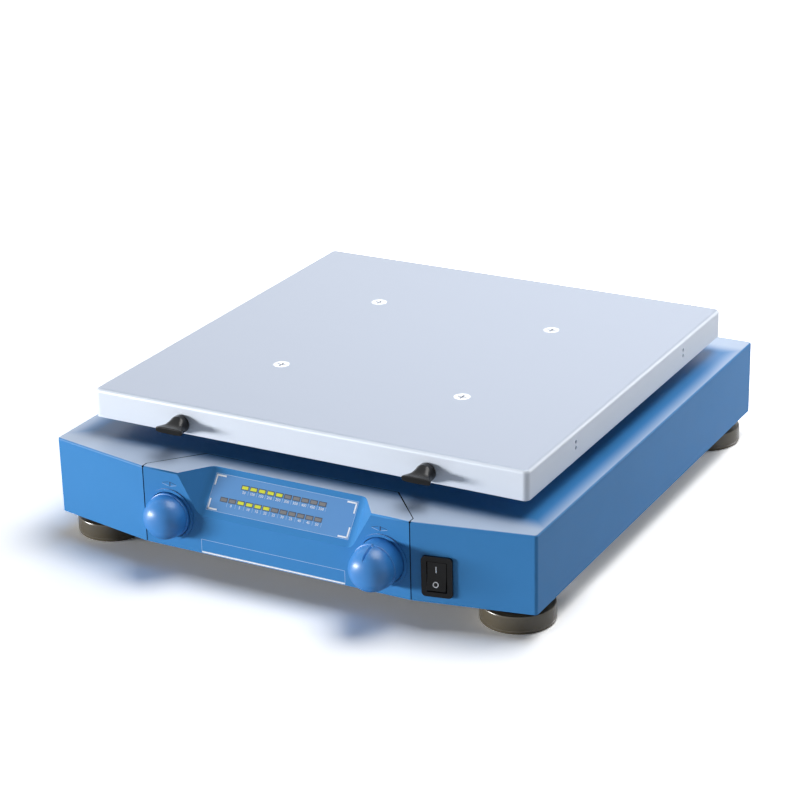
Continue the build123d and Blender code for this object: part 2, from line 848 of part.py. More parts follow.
# Counterweight, opposite the crank pin
with BuildPart() as counterweight:
    pin_side = Plane(
        origin=(0, drive_y, counterweight_bottom), x_dir=(tray_x, tray_y - drive_y, 0), z_dir=(0, 0, 1)
    )
    with BuildSketch(pin_side):
        Circle(counterweight_radius)
        with Locations((counterweight_radius, 0)):
            Rectangle(2 * counterweight_radius, 2 * counterweight_radius, mode=Mode.SUBTRACT)
        Circle(drive_collar_diameter / 2 + pulley_rim)
        Circle(drive_collar_diameter / 2 + seat_fit, mode=Mode.SUBTRACT)
    extrude(amount=counterweight_thickness)
save("counterweight", counterweight)

# ================================================================ motor and belt
with BuildPart() as motor_housing:
    with BuildSketch(Plane.XY.offset(base_top)):
        with Locations((motor_x, motor_y)):
            Circle(motor_flange_diameter / 2)
    extrude(amount=motor_flange_thickness)
    with BuildSketch(Plane.XY.offset(base_top)):
        with Locations((motor_x, motor_y)):
            Circle(motor_diameter / 2)
    extrude(amount=motor_height)
    fillet(motor_housing.edges().group_by(Axis.Z)[-1], radius=motor_edge_radius)
    with BuildSketch(Plane.XY.offset(base_top + motor_bearing_width)):
        with Locations((motor_x, motor_y)):
            Circle(motor_diameter / 2 - motor_wall)
    extrude(amount=motor_height - 2 * motor_bearing_width, mode=Mode.SUBTRACT)
    with BuildSketch(Plane.XY.offset(base_top)):
        with Locations((motor_x, motor_y)):
            Circle(motor_bearing_diameter / 2 + seat_fit)
            with PolarLocations((motor_flange_diameter + motor_diameter) / 4, 4, start_angle=45):
                Circle(motor_screw_diameter / 2 + seat_fit)
    extrude(amount=motor_height, mode=Mode.SUBTRACT)
save("motor_housing", motor_housing)

with BuildPart() as motor_stator:
    with BuildSketch(Plane.XY.offset(base_top + motor_bearing_width + stator_margin)):
        with Locations((motor_x, motor_y)):
            Circle(motor_diameter / 2 - motor_wall - seat_fit)
            Circle(motor_diameter / 2 - motor_wall - stator_wall, mode=Mode.SUBTRACT)
            with PolarLocations(motor_diameter / 2 - motor_wall - stator_slot_depth, stator_slot_count):
                SlotCenterToCenter(stator_slot_length, stator_slot_width, mode=Mode.SUBTRACT)
    extrude(amount=motor_height - 2 * motor_bearing_width - 2 * stator_margin)
save("motor_stator", motor_stator)

with BuildPart() as motor_bearings:
    for seat_bottom in (base_top, motor_cap_top - motor_bearing_width):
        with BuildSketch(Plane.XY.offset(seat_bottom)):
            with Locations((motor_x, motor_y)):
                Circle(motor_bearing_diameter / 2)
                Circle(motor_shaft_diameter / 2 + running_fit, mode=Mode.SUBTRACT)
        extrude(amount=motor_bearing_width)
save("motor_bearings", motor_bearings)

with BuildPart() as motor_screws:
    with BuildSketch(Plane.XY.offset(base_top + motor_flange_thickness)):
        with Locations((motor_x, motor_y)):
            with PolarLocations((motor_flange_diameter + motor_diameter) / 4, 4, start_angle=45):
                Circle(motor_screw_head_diameter / 2)
    extrude(amount=motor_screw_head_height)
    with BuildSketch(Plane.XY.offset(base_top)):
        with Locations((motor_x, motor_y)):
            with PolarLocations((motor_flange_diameter + motor_diameter) / 4, 4, start_angle=45):
                Circle(motor_screw_diameter / 2)
    extrude(amount=motor_flange_thickness)
save("motor_screws", motor_screws)

with BuildPart() as motor_rotor:
    with BuildSketch(Plane.XY.offset(base_top + face_gap)):
        with Locations((motor_x, motor_y)):
            Circle(motor_shaft_diameter / 2)
    extrude(amount=pulley_top + motor_shaft_overrun - base_top - face_gap)
    with BuildSketch(Plane.XY.offset(base_top + motor_bearing_width + stator_margin)):
        with Locations((motor_x, motor_y)):
            Circle(motor_diameter / 2 - motor_wall - stator_wall - rotor_gap)
    extrude(amount=motor_height - 2 * motor_bearing_width - 2 * stator_margin)
save("motor_rotor", motor_rotor)

with BuildPart() as motor_pulley:
    with BuildSketch(Plane.XY.offset(pulley_bottom)):
        with Locations((motor_x, motor_y)):
            Circle(motor_pulley_diameter / 2)
            Circle(motor_shaft_diameter / 2 + seat_fit, mode=Mode.SUBTRACT)
    extrude(amount=pulley_width)
save("motor_pulley", motor_pulley)


def belt_area(grow):
    """Area inside a taut belt round both pulleys, at a distance from their rims."""
    with Locations((0, drive_y)):
        Circle(pulley_diameter / 2 + grow)
    with Locations((motor_x, motor_y)):
        Circle(motor_pulley_diameter / 2 + grow)
    make_hull()


with BuildPart() as drive_belt:
    with BuildSketch(Plane.XY.offset(belt_bottom)):
        belt_area(face_gap + belt_thickness)
    extrude(amount=belt_width)
    with BuildSketch(Plane.XY.offset(belt_bottom)):
        belt_area(face_gap)
    extrude(amount=belt_width, mode=Mode.SUBTRACT)
save("drive_belt", drive_belt)

# ================================================================ tray and its carrier
# Tray: folded aluminium plate with a skirt all round
with BuildPart() as platform_tray:
    with BuildSketch(Plane.XY.offset(tray_bottom)):
        with Locations((tray_x, tray_y)):
            RectangleRounded(tray_size, tray_size, tray_corner_radius)
    extrude(amount=tray_height)
    fillet(platform_tray.faces().sort_by(Axis.Z)[-1].edges(), radius=tray_edge_radius)
    with BuildSketch(Plane.XY.offset(tray_bottom)):
        with Locations((tray_x, tray_y)):
            RectangleRounded(
                tray_size - 2 * tray_wall, tray_size - 2 * tray_wall, tray_corner_radius - tray_wall
            )
    extrude(amount=tray_height - tray_wall, mode=Mode.SUBTRACT)
    with Locations((tray_x, tray_y, tray_top)):
        with GridLocations(tray_screw_spacing, tray_screw_spacing, 2, 2):
            CounterSinkHole(
                radius=tray_screw_diameter / 2 + seat_fit,
                counter_sink_radius=tray_screw_head_diameter / 2 + seat_fit,
                depth=tray_wall,
                counter_sink_angle=90,
            )
    # pairs of small holes in both side skirts
    with BuildSketch(Plane.YZ.offset(tray_x - tray_size)):
        with Locations((tray_y, side_hole_z)):
            with GridLocations(side_hole_spacing, side_hole_pair_gap, 2, 2):
                Circle(side_hole_diameter / 2)
    extrude(amount=2 * tray_size, mode=Mode.SUBTRACT)
    # holes for the clamp screws in the front skirt
    with BuildSketch(clamp_plane):
        with GridLocations(clamp_spacing, 1, 2, 1):
            Circle(clamp_stud_diameter / 2 + running_fit)
    extrude(amount=-tray_wall, mode=Mode.SUBTRACT)
save("platform_tray", platform_tray)

with BuildPart() as clamp_nuts:
    with BuildSketch(clamp_plane.offset(-tray_wall)):
        with GridLocations(clamp_spacing, 1, 2, 1):
            Rectangle(clamp_nut_size, clamp_nut_size)
            Circle(clamp_stud_diameter / 2 + running_fit, mode=Mode.SUBTRACT)
    extrude(amount=-clamp_nut_thickness)
save("clamp_nuts", clamp_nuts)

hub_places = {place: (x + tray_x, y - drive_y + tray_y) for place, (x, y) in guide_places.items()}

# Carrier: plate with bearing hubs below and posts up to the tray
with BuildPart() as platform_carrier:
    with BuildSketch(Plane.XY.offset(carrier_bottom)):
        with Locations((tray_x, tray_y + (carrier_back - carrier_front) / 2)):
            RectangleRounded(carrier_width, carrier_front + carrier_back, carrier_corner_radius)
        for row_y in (carrier_window_front_y, carrier_window_rear_y):
            with Locations(*[(tray_x + sx * carrier_window_x, tray_y + row_y) for sx in (-1, 1)]):
                RectangleRounded(
                    carrier_window_width, carrier_window_length, carrier_window_radius, mode=Mode.SUBTRACT
                )
    extrude(amount=carrier_thickness)
    with BuildSketch(Plane.XY.offset(hub_bottom)):
        with Locations((tray_x, tray_y)):
            Circle(drive_bearing_diameter / 2 + hub_wall)
        with Locations(*hub_places.values()):
            Circle(guide_bearing_diameter / 2 + hub_wall)
    extrude(amount=hub_height)
    with BuildSketch(Plane.XY.offset(carrier_top)):
        with Locations((tray_x, tray_y)):
            with GridLocations(tray_screw_spacing, tray_screw_spacing, 2, 2):
                Circle(post_diameter / 2)
    extrude(amount=tray_inner_top - carrier_top)
    # bearing seats, and the clear bores for the crank pins above them
    with BuildSketch(Plane.XY.offset(hub_bottom)):
        with Locations((tray_x, tray_y)):
            Circle(drive_bearing_diameter / 2 + seat_fit)
    extrude(amount=drive_bearing_width, mode=Mode.SUBTRACT)
    with BuildSketch(Plane.XY.offset(hub_bottom)):
        with Locations(*hub_places.values()):
            Circle(guide_bearing_diameter / 2 + seat_fit)
    extrude(amount=guide_bearing_width, mode=Mode.SUBTRACT)
    with BuildSketch(Plane.XY.offset(hub_bottom)):
        with Locations((tray_x, tray_y)):
            Circle(drive_shaft_diameter / 2 + pin_bore_gap)
        with Locations(*hub_places.values()):
            Circle(guide_shaft_diameter / 2 + pin_bore_gap)
    extrude(amount=hub_height, mode=Mode.SUBTRACT)
    # threaded holes in the posts
    with BuildSketch(Plane.XY.offset(tray_inner_top)):
        with Locations((tray_x, tray_y)):
            with GridLocations(tray_screw_spacing, tray_screw_spacing, 2, 2):
                Circle(tray_screw_diameter / 2 + seat_fit)
    extrude(amount=-(tray_inner_top - carrier_top), mode=Mode.SUBTRACT)
save("platform_carrier", platform_carrier)

with BuildPart() as carrier_bearings:
    with Locations((tray_x, tray_y, hub_bottom)):
        add(drive_bearing)
    with Locations(*[(x, y, hub_bottom) for x, y in hub_places.values()]):
        add(guide_bearing)
save("carrier_bearings", carrier_bearings)

# Countersunk screws with a cross recess, from the tray's top into the posts
with BuildPart() as tray_screws:
    head_height = (tray_screw_head_diameter - tray_screw_diameter) / 2
    with Locations((tray_x, tray_y, tray_top)):
        with GridLocations(tray_screw_spacing, tray_screw_spacing, 2, 2):
            Cone(
                tray_screw_diameter / 2,
                tray_screw_head_diameter / 2,
                head_height,
                align=(Align.CENTER, Align.CENTER, Align.MAX),
            )
            Cylinder(
                tray_screw_diameter / 2,
                tray_wall + tray_screw_reach,
                align=(Align.CENTER, Align.CENTER, Align.MAX),
            )
    with BuildSketch(Plane.XY.offset(tray_top)):
        with Locations((tray_x, tray_y)):
            with GridLocations(tray_screw_spacing, tray_screw_spacing, 2, 2):
                Rectangle(tray_screw_cross_length, tray_screw_cross_width)
                Rectangle(tray_screw_cross_width, tray_screw_cross_length)
    extrude(amount=-tray_screw_cross_depth, taper=tray_screw_cross_taper_deg, mode=Mode.SUBTRACT)
save("tray_screws", tray_screws)


def clamp_screw(side, sign):
    """A wing screw on the tray's front skirt: a plastic wing on a steel stud."""
    seat = Plane(
        origin=(tray_x + sign * clamp_spacing / 2, tray_front - face_gap, clamp_z),
        x_dir=(1, 0, 0),
        z_dir=(0, -1, 0),
    )
    with BuildPart() as wing:
        # seen from above the wing widens, seen from the side it thins
        with BuildSketch(Plane(origin=seat.origin, x_dir=seat.x_dir, z_dir=(0, 0, 1))):
            face_of(
                [
                    (-clamp_hub_diameter / 2, 0),
                    (clamp_hub_diameter / 2, 0),
                    (clamp_hub_diameter / 2, -clamp_hub_length),
                    (clamp_wing_width / 2, clamp_wing_length - clamp_length),
                    (clamp_wing_width / 2, -clamp_length),
                    (-clamp_wing_width / 2, -clamp_length),
                    (-clamp_wing_width / 2, clamp_wing_length - clamp_length),
                    (-clamp_hub_diameter / 2, -clamp_hub_length),
                ]
            )
        extrude(amount=clamp_hub_diameter / 2, both=True)
        with BuildSketch(Plane(origin=seat.origin, x_dir=seat.z_dir, z_dir=seat.x_dir)):
            face_of(
                [
                    (0, clamp_hub_diameter / 2),
                    (clamp_hub_length, clamp_hub_diameter / 2),
                    (clamp_length - clamp_wing_length, clamp_wing_thickness / 2),
                    (clamp_length, clamp_wing_thickness / 2),
                    (clamp_length, -clamp_wing_thickness / 2),
                    (clamp_length - clamp_wing_length, -clamp_wing_thickness / 2),
                    (clamp_hub_length, -clamp_hub_diameter / 2),
                    (0, -clamp_hub_diameter / 2),
                ]
            )
        extrude(amount=clamp_wing_width, both=True, mode=Mode.INTERSECT)
        with BuildSketch(seat):
            Rectangle(2 * clamp_wing_width, 2 * clamp_wing_width)
            Circle(clamp_hub_diameter / 2, mode=Mode.SUBTRACT)
        extrude(amount=clamp_hub_length, mode=Mode.SUBTRACT)
        with BuildSketch(seat):
            Circle(clamp_stud_diameter / 2 + seat_fit)
        extrude(amount=clamp_hub_length, mode=Mode.SUBTRACT)
    save(f"clamp_wing_{side}", wing)
    with BuildPart() as stud:
        with BuildSketch(seat.offset(clamp_hub_length - clamp_stud_end_gap)):
            Circle(clamp_stud_diameter / 2)
        extrude(amount=-clamp_stud_length - clamp_hub_length)
        chamfer(stud.edges().group_by(Axis.Y)[-1], length=clamp_stud_chamfer)
    save(f"clamp_stud_{side}", stud)


clamp_screw("left", -1)
clamp_screw("right", 1)

# ================================================================ control panel
with BuildPart() as panel_hollow:
    with BuildSketch(Plane.XY.offset(base_bottom)):
        with Locations((0, front_y + panel_wall)):
            Rectangle(centre_facet_width, 2 * panel_top_depth, align=(Align.CENTER, Align.MIN))
    extrude(amount=housing_height - panel_wall)
    add(scoop_cut(panel_wall), mode=Mode.SUBTRACT)

led_rows = {
    speed_row_height: [speed_row_start + i * led_pitch for i in range(speed_led_count)],
    timer_row_height: [speed_row_start + (i - timer_lead_count) * led_pitch for i in range(timer_led_count)],
}
board_front_depth = window_thickness + led_depth
board_width = window_width + 2 * board_margin
board_height = window_height + board_margin
board_boss_spacing_x = board_width - 2 * board_margin
board_boss_spacing_y = board_height - 2 * board_margin

panel_screw_places = [(sx * panel_screw_x, front_y + panel_screw_inset) for sx in (-1, 1)]

with BuildPart() as front_panel:
    with BuildSketch(Plane.XY.offset(base_bottom)):
        face_of(panel_points(panel_gap))
    extrude(amount=housing_height)
    top_front_edge = front_panel.edges().filter_by(Axis.X).group_by(Axis.Z)[-1].sort_by(Axis.Y)[0]
    fillet(top_front_edge, radius=cover_edge_radius)
    add(scoop_cut(0), mode=Mode.SUBTRACT)
    add(panel_hollow.part, mode=Mode.SUBTRACT)
    # flange that is screwed to the base plate
    with BuildSketch(Plane.XY.offset(base_top)):
        with Locations((0, front_y + panel_wall - panel_foot_overlap)):
            Rectangle(panel_foot_width, panel_foot_depth, align=(Align.CENTER, Align.MIN))
    extrude(amount=panel_foot_thickness)
    with BuildSketch(Plane.XY.offset(base_top)):
        with Locations(*panel_screw_places):
            Circle(panel_screw_diameter / 2 + seat_fit)
    extrude(amount=panel_foot_thickness, mode=Mode.SUBTRACT)
    # collars and holes for the knobs
    with BuildSketch(front_plane):
        with Locations((-knob_x, knob_z), (knob_x, knob_z)):
            Circle(knob_diameter / 2 + knob_hole_gap + knob_collar_width)
    extrude(amount=knob_collar_height)
    with BuildSketch(front_plane.offset(knob_collar_height)):
        with Locations((-knob_x, knob_z), (knob_x, knob_z)):
            Circle(knob_diameter / 2 + knob_hole_gap)
    extrude(amount=-(panel_wall + knob_collar_height), mode=Mode.SUBTRACT)
    # pocket for the window, with a slot behind each row of lamps
    with BuildSketch(display_plane):
        with Locations((0, window_centre)):
            Rectangle(window_width, window_height)
    extrude(amount=-window_thickness, mode=Mode.SUBTRACT)
    with BuildSketch(display_plane):
        for row_height, row in led_rows.items():
            with Locations(((row[0] + row[-1]) / 2, row_height)):
                Rectangle(
                    row[-1] - row[0] + led_width + 2 * led_slot_margin,
                    led_height + 2 * led_slot_margin,
                )
    extrude(amount=-panel_wall, mode=Mode.SUBTRACT)
    # short bosses that carry the display board
    with BuildSketch(display_plane.offset(-panel_wall)):
        with Locations((0, window_centre)):
            with GridLocations(board_boss_spacing_x, board_boss_spacing_y, 2, 2):
                Circle(board_margin)
    extrude(amount=-(board_front_depth - panel_wall))
save("front_panel", front_panel)

with BuildPart() as panel_screws:
    with BuildSketch(Plane.XY.offset(base_top + panel_foot_thickness)):
        with Locations(*panel_screw_places):
            Circle(panel_screw_head_diameter / 2)
    extrude(amount=panel_screw_head_height)
    with BuildSketch(Plane.XY.offset(base_top)):
        with Locations(*panel_screw_places):
            Circle(panel_screw_diameter / 2)
    extrude(amount=panel_foot_thickness)
save("panel_screws", panel_screws)

with BuildPart() as display_window:
    with BuildSketch(display_plane.offset(-window_thickness)):
        with Locations((0, window_centre)):
            Rectangle(window_width - 2 * seat_fit, window_height - 2 * seat_fit)
    extrude(amount=window_thickness)
save("display_window", display_window)


def lamps(name, places):
    """Light segments that stand on the display board, right behind the window."""
    with BuildPart() as row:
        with BuildSketch(display_plane.offset(-window_thickness)):
            with Locations(*places):
                Rectangle(led_width, led_height)
        extrude(amount=-led_depth)
    save(name, row)


speed_lamps = [(x, speed_row_height) for x in led_rows[speed_row_height]]
timer_lamps = [(x, timer_row_height) for x in led_rows[timer_row_height]]
timer_lit = timer_lamps[timer_lead_count : timer_lead_count + timer_lit_count]
timer_unlit = timer_lamps[:timer_lead_count] + timer_lamps[timer_lead_count + timer_lit_count :]
lamps("lit_lamps", speed_lamps[:speed_lit_count] + timer_lit)
lamps("unlit_lamps", speed_lamps[speed_lit_count:] + timer_unlit)

with BuildPart() as display_board:
    with BuildSketch(display_plane.offset(-board_front_depth)):
        with Locations((0, window_centre)):
            Rectangle(board_width, board_height)
    extrude(amount=-board_thickness)
save("display_board", display_board)

# ================================================================ knobs, potentiometers and latches
skirt_length = knob_reach - knob_dome_height + panel_wall


def dome_face(radius, height):
    """Half profile of the knob's dome: straight up from the rim, rounding over to the crown."""
    with BuildLine() as outline:
        Line((0, 0), (radius, 0))
        shoulder = (radius, -knob_shoulder_share * height)
        crown = (knob_crown_share * radius, -height)
        Bezier((radius, 0), shoulder, crown, (0, -height))
        Line((0, -height), (0, 0))
    make_face(outline.edges())


def knob(name, x, pointer_deg, push):
    """A domed knob with a pointer groove, pushed in from its outermost place by a distance."""
    rim_y = front_y - knob_reach + knob_dome_height + push
    rim = Plane(origin=(x, rim_y, knob_z), x_dir=(1, 0, 0), z_dir=(0, -1, 0))
    profile = Plane(origin=(x, rim_y, knob_z), x_dir=(1, 0, 0), z_dir=(0, 0, 1))
    turn_axis = Axis((x, rim_y, knob_z), (0, 1, 0))
    dome_radius = knob_diameter / 2 - knob_rim_step
    with BuildPart() as groove:
        with BuildSketch(rim.rotated((0, 0, pointer_deg))):
            with Locations((knob_pointer_start, 0)):
                Rectangle(knob_diameter, knob_pointer_width, align=(Align.MIN, Align.CENTER))
        extrude(amount=knob_dome_height)
        with BuildSketch(profile):
            dome_face(dome_radius - knob_pointer_depth, knob_dome_height - knob_pointer_depth)
        revolve(axis=turn_axis, mode=Mode.SUBTRACT)
    with BuildPart() as cap:
        with BuildSketch(rim):
            Circle(knob_diameter / 2)
        extrude(amount=-skirt_length)
        with BuildSketch(profile):
            dome_face(dome_radius, knob_dome_height)
        revolve(axis=turn_axis)
        add(groove.part, mode=Mode.SUBTRACT)
        with BuildSketch(rim.offset(-skirt_length)):
            Circle(knob_diameter / 2 - knob_wall)
            Circle(knob_hub_diameter / 2, mode=Mode.SUBTRACT)
        extrude(amount=skirt_length - knob_wall, mode=Mode.SUBTRACT)
        with BuildSketch(rim.offset(-skirt_length)):
            Circle(pot_shaft_diameter / 2 + seat_fit)
        extrude(amount=skirt_length - knob_wall, mode=Mode.SUBTRACT)
    save(name, cap)
    return rim_y


def potentiometer(name, x):
    """Rotary potentiometer on the bracket with a push-push latch box behind it."""
    seat = Plane(origin=(x, bracket_back_y, knob_z), x_dir=(1, 0, 0), z_dir=(0, -1, 0))
    with BuildPart() as unit:
        with BuildSketch(seat):
            Circle(pot_bush_diameter / 2)
        extrude(amount=pot_bracket_thickness + pot_bush_length)
        with BuildSketch(seat):
            Circle(pot_diameter / 2)
        extrude(amount=-pot_length)
        with BuildSketch(seat.offset(-pot_length)):
            Rectangle(latch_size, latch_size)
        extrude(amount=-latch_length)
        with BuildSketch(seat.offset(-pot_length - latch_wall)):
            Rectangle(latch_size - 2 * latch_wall, latch_size - 2 * latch_wall)
        extrude(amount=-(latch_length - 2 * latch_wall), mode=Mode.SUBTRACT)
        with BuildSketch(seat.offset(pot_bracket_thickness + pot_bush_length)):
            Circle(pot_shaft_diameter / 2 + running_fit)
        bore_length = pot_bracket_thickness + pot_bush_length + pot_length + latch_wall
        extrude(amount=-bore_length, mode=Mode.SUBTRACT)
    save(name, unit)


def slider_and_shaft(name, x, push, rim_y):
    """The latch's sliding block, and the shaft that turns in it and carries the knob."""
    block_front = pot_back_y + latch_wall + slider_clearance + push
    seat = Plane(origin=(x, block_front, knob_z), x_dir=(1, 0, 0), z_dir=(0, 1, 0))
    block_size = latch_size - 2 * latch_wall - 2 * slider_clearance
    with BuildPart() as slider:
        with BuildSketch(seat):
            Rectangle(block_size, block_size)
            Circle(pot_shaft_diameter / 2 + running_fit, mode=Mode.SUBTRACT)
        extrude(amount=slider_length)
    save(f"{name}_slider", slider)
    shaft_front = rim_y + knob_wall
    with BuildPart() as shaft:
        with BuildSketch(Plane(origin=(x, shaft_front, knob_z), x_dir=(1, 0, 0), z_dir=(0, 1, 0))):
            Circle(pot_shaft_diameter / 2)
        extrude(amount=block_front + slider_length + slider_clearance - shaft_front)
        with BuildSketch(seat.offset(slider_length + slider_clearance)):
            Circle(pot_shaft_diameter / 2 + shaft_collar_width)
        extrude(amount=shaft_collar_thickness)
    save(f"{name}_shaft", shaft)


speed_rim_y = knob("speed_knob", -knob_x, speed_pointer_deg, knob_travel)
timer_rim_y = knob("timer_knob", knob_x, timer_pointer_deg, 0)
potentiometer("speed_potentiometer", -knob_x)
potentiometer("timer_potentiometer", knob_x)
slider_and_shaft("speed", -knob_x, knob_travel, speed_rim_y)
slider_and_shaft("timer", knob_x, 0, timer_rim_y)

with BuildPart() as panel_bracket:
    with BuildSketch(Plane(origin=(0, bracket_y, base_top), x_dir=(1, 0, 0), z_dir=(0, -1, 0))):
        Rectangle(bracket_width, pot_bracket_height, align=(Align.CENTER, Align.MIN))
        with Locations((-knob_x, 0), (knob_x, 0)):
            Rectangle(
                pot_bracket_tower_width,
                knob_z - base_top + pot_bracket_tower_rise,
                align=(Align.CENTER, Align.MIN),
            )
        with Locations((-knob_x, knob_z - base_top), (knob_x, knob_z - base_top)):
            Circle(pot_bush_diameter / 2 + seat_fit, mode=Mode.SUBTRACT)
    extrude(amount=-pot_bracket_thickness)
    with BuildSketch(Plane.XY.offset(base_top)):
        with Locations((0, bracket_y)):
            Rectangle(bracket_width, pot_bracket_foot, align=(Align.CENTER, Align.MIN))
    extrude(amount=pot_bracket_thickness)
save("panel_bracket", panel_bracket)

with BuildPart() as pot_nuts:
    with BuildSketch(Plane(origin=(0, bracket_y, knob_z), x_dir=(1, 0, 0), z_dir=(0, -1, 0))):
        with Locations((-knob_x, 0), (knob_x, 0)):
            RegularPolygon(pot_nut_diameter / 2, 6)
            Circle(pot_bush_diameter / 2 + seat_fit, mode=Mode.SUBTRACT)
    extrude(amount=pot_nut_thickness)
save("pot_nuts", pot_nuts)

# ================================================================ mains switch
rocker_pivot = switch_plane.offset(switch_frame_thickness - rocker_pivot_depth).origin

with BuildPart() as switch_frame:
    with BuildSketch(switch_plane):
        RectangleRounded(switch_frame_width, switch_frame_height, switch_frame_radius)
    extrude(amount=switch_frame_thickness)
    fillet(switch_frame.faces().sort_by(SortBy.AREA)[-1].edges(), radius=switch_frame_edge_radius)
    with BuildSketch(switch_plane):
        Rectangle(switch_body_width, switch_body_height)
    extrude(amount=-switch_body_depth)
    with BuildSketch(switch_plane.offset(switch_frame_thickness)):
        Rectangle(switch_well_width, switch_well_height)
    extrude(amount=-switch_well_depth, mode=Mode.SUBTRACT)
    with BuildSketch(Plane(origin=rocker_pivot, x_dir=switch_plane.z_dir, z_dir=switch_plane.x_dir)):
        Circle(rocker_pin_diameter / 2 + running_fit)
    pin_hole_reach = switch_well_width / 2 + rocker_pin_length + rocker_pin_end_gap
    extrude(amount=pin_hole_reach, both=True, mode=Mode.SUBTRACT)
save("switch_frame", switch_frame)

# Rocker, at rest with its upper half pressed in
rocker_tilt = radians(rocker_swing_deg / 2)
rocker_up = Vector(0, 0, 1) * cos(rocker_tilt) - switch_plane.z_dir * sin(rocker_tilt)
rocker_plane = Plane(origin=rocker_pivot, x_dir=rocker_up, z_dir=switch_plane.x_dir)
with BuildPart() as switch_rocker:
    rocker_half = rocker_height / 2
    rocker_face = rocker_pivot_depth - rocker_centre_sink
    with BuildSketch(rocker_plane):
        face_of(
            [
                (-rocker_half, rocker_pivot_depth - rocker_depth),
                (rocker_half, rocker_pivot_depth - rocker_depth),
                (rocker_half, rocker_face + rocker_end_rise),
                (0, rocker_face),
                (-rocker_half, rocker_face + rocker_end_rise),
            ]
        )
    extrude(amount=switch_well_width / 2 - rocker_side_gap, both=True)
    with BuildSketch(rocker_plane):
        Circle(rocker_pin_diameter / 2)
    extrude(amount=switch_well_width / 2 + rocker_pin_length, both=True)
save("switch_rocker", switch_rocker)

# ================================================================ mains inlet
inlet_centre = (-inlet_x, housing_mid)
inlet_earth = (-inlet_x, housing_mid + inlet_earth_rise)
inlet_line = (-inlet_x - inlet_pin_spacing, housing_mid - inlet_line_drop)
inlet_neutral = (-inlet_x + inlet_pin_spacing, housing_mid - inlet_line_drop)
with BuildPart() as inlet_socket:
    with BuildSketch(back_plane):
        with Locations(inlet_centre):
            Rectangle(inlet_body_width, inlet_body_height)
    extrude(amount=-(cover_wall + inlet_body_depth))
    with BuildSketch(back_plane.offset(-cover_wall)):
        with Locations(inlet_centre):
            RectangleRounded(inlet_flange_width, inlet_flange_height, inlet_flange_radius)
    extrude(amount=-inlet_flange_thickness)
    with BuildSketch(back_plane):
        with Locations(inlet_centre):
            Rectangle(inlet_cavity_width, inlet_cavity_height)
    extrude(amount=-inlet_cavity_depth, mode=Mode.SUBTRACT)
    with BuildSketch(back_plane):
        with Locations(inlet_earth, inlet_line, inlet_neutral):
            Rectangle(inlet_pin_thickness + 2 * seat_fit, inlet_pin_width + 2 * seat_fit)
        with Locations(inlet_centre):
            with GridLocations(inlet_screw_spacing, 1, 2, 1):
                Circle(inlet_screw_diameter / 2 + seat_fit)
    extrude(amount=-(cover_wall + inlet_body_depth), mode=Mode.SUBTRACT)
save("inlet_socket", inlet_socket)

with BuildPart() as inlet_pins:
    with BuildSketch(back_plane.offset(inlet_pin_length - inlet_cavity_depth)):
        with Locations(inlet_earth, inlet_line, inlet_neutral):
            Rectangle(inlet_pin_thickness, inlet_pin_width)
    pin_reach = inlet_pin_length - inlet_cavity_depth + cover_wall + inlet_body_depth + inlet_tab_length
    extrude(amount=-pin_reach)
save("inlet_pins", inlet_pins)

with BuildPart() as inlet_screws:
    with BuildSketch(back_plane):
        with Locations(inlet_centre):
            with GridLocations(inlet_screw_spacing, 1, 2, 1):
                Circle(inlet_screw_diameter / 2)
    extrude(amount=-(cover_wall + inlet_flange_thickness + inlet_screw_overrun))
save("inlet_screws", inlet_screws)

# ================================================================ transformer and control board
with BuildPart() as transformer:
    with BuildSketch(Plane.XZ.offset(-transformer_y)):
        with Locations((transformer_x + (transformer_diameter + transformer_bore) / 4, base_top)):
            RectangleRounded(
                (transformer_diameter - transformer_bore) / 2,
                transformer_height,
                transformer_round,
                align=(Align.CENTER, Align.MIN),
            )
    revolve(axis=Axis((transformer_x, transformer_y, 0), (0, 0, 1)))
save("transformer", transformer)

with BuildPart() as transformer_washer:
    with BuildSketch(Plane.XY.offset(transformer_top)):
        with Locations((transformer_x, transformer_y)):
            Circle(transformer_washer_diameter / 2)
            Circle(transformer_bolt_diameter / 2 + seat_fit, mode=Mode.SUBTRACT)
    extrude(amount=transformer_washer_thickness)
save("transformer_washer", transformer_washer)

with BuildPart() as transformer_bolt:
    with BuildSketch(Plane.XY.offset(base_bottom - transformer_bolt_head_height)):
        with Locations((transformer_x, transformer_y)):
            Circle(transformer_nut_diameter / 2)
    extrude(amount=transformer_bolt_head_height)
    with BuildSketch(Plane.XY.offset(base_bottom)):
        with Locations((transformer_x, transformer_y)):
            Circle(transformer_bolt_diameter / 2)
    extrude(amount=transformer_top + transformer_washer_thickness - base_bottom)
    with BuildSketch(Plane.XY.offset(transformer_top + transformer_washer_thickness)):
        with Locations((transformer_x, transformer_y)):
            RegularPolygon(transformer_nut_diameter / 2, 6)
    extrude(amount=transformer_nut_height)
save("transformer_bolt", transformer_bolt)

board_bottom = base_top + standoff_height
board_top = board_bottom + board_thickness
with BuildPart() as control_board:
    with BuildSketch(Plane.XY.offset(board_bottom)):
        with Locations((control_board_x, control_board_y)):
            Rectangle(control_board_width, control_board_length)
    extrude(amount=board_thickness)
save("control_board", control_board)

with BuildPart() as board_standoffs:
    with BuildSketch(Plane.XY.offset(base_top)):
        with Locations((control_board_x, control_board_y)):
            with GridLocations(
                control_board_width - 2 * standoff_inset, control_board_length - 2 * standoff_inset, 2, 2
            ):
                RegularPolygon(standoff_diameter / 2, 6)
    extrude(amount=standoff_height)
save("board_standoffs", board_standoffs)

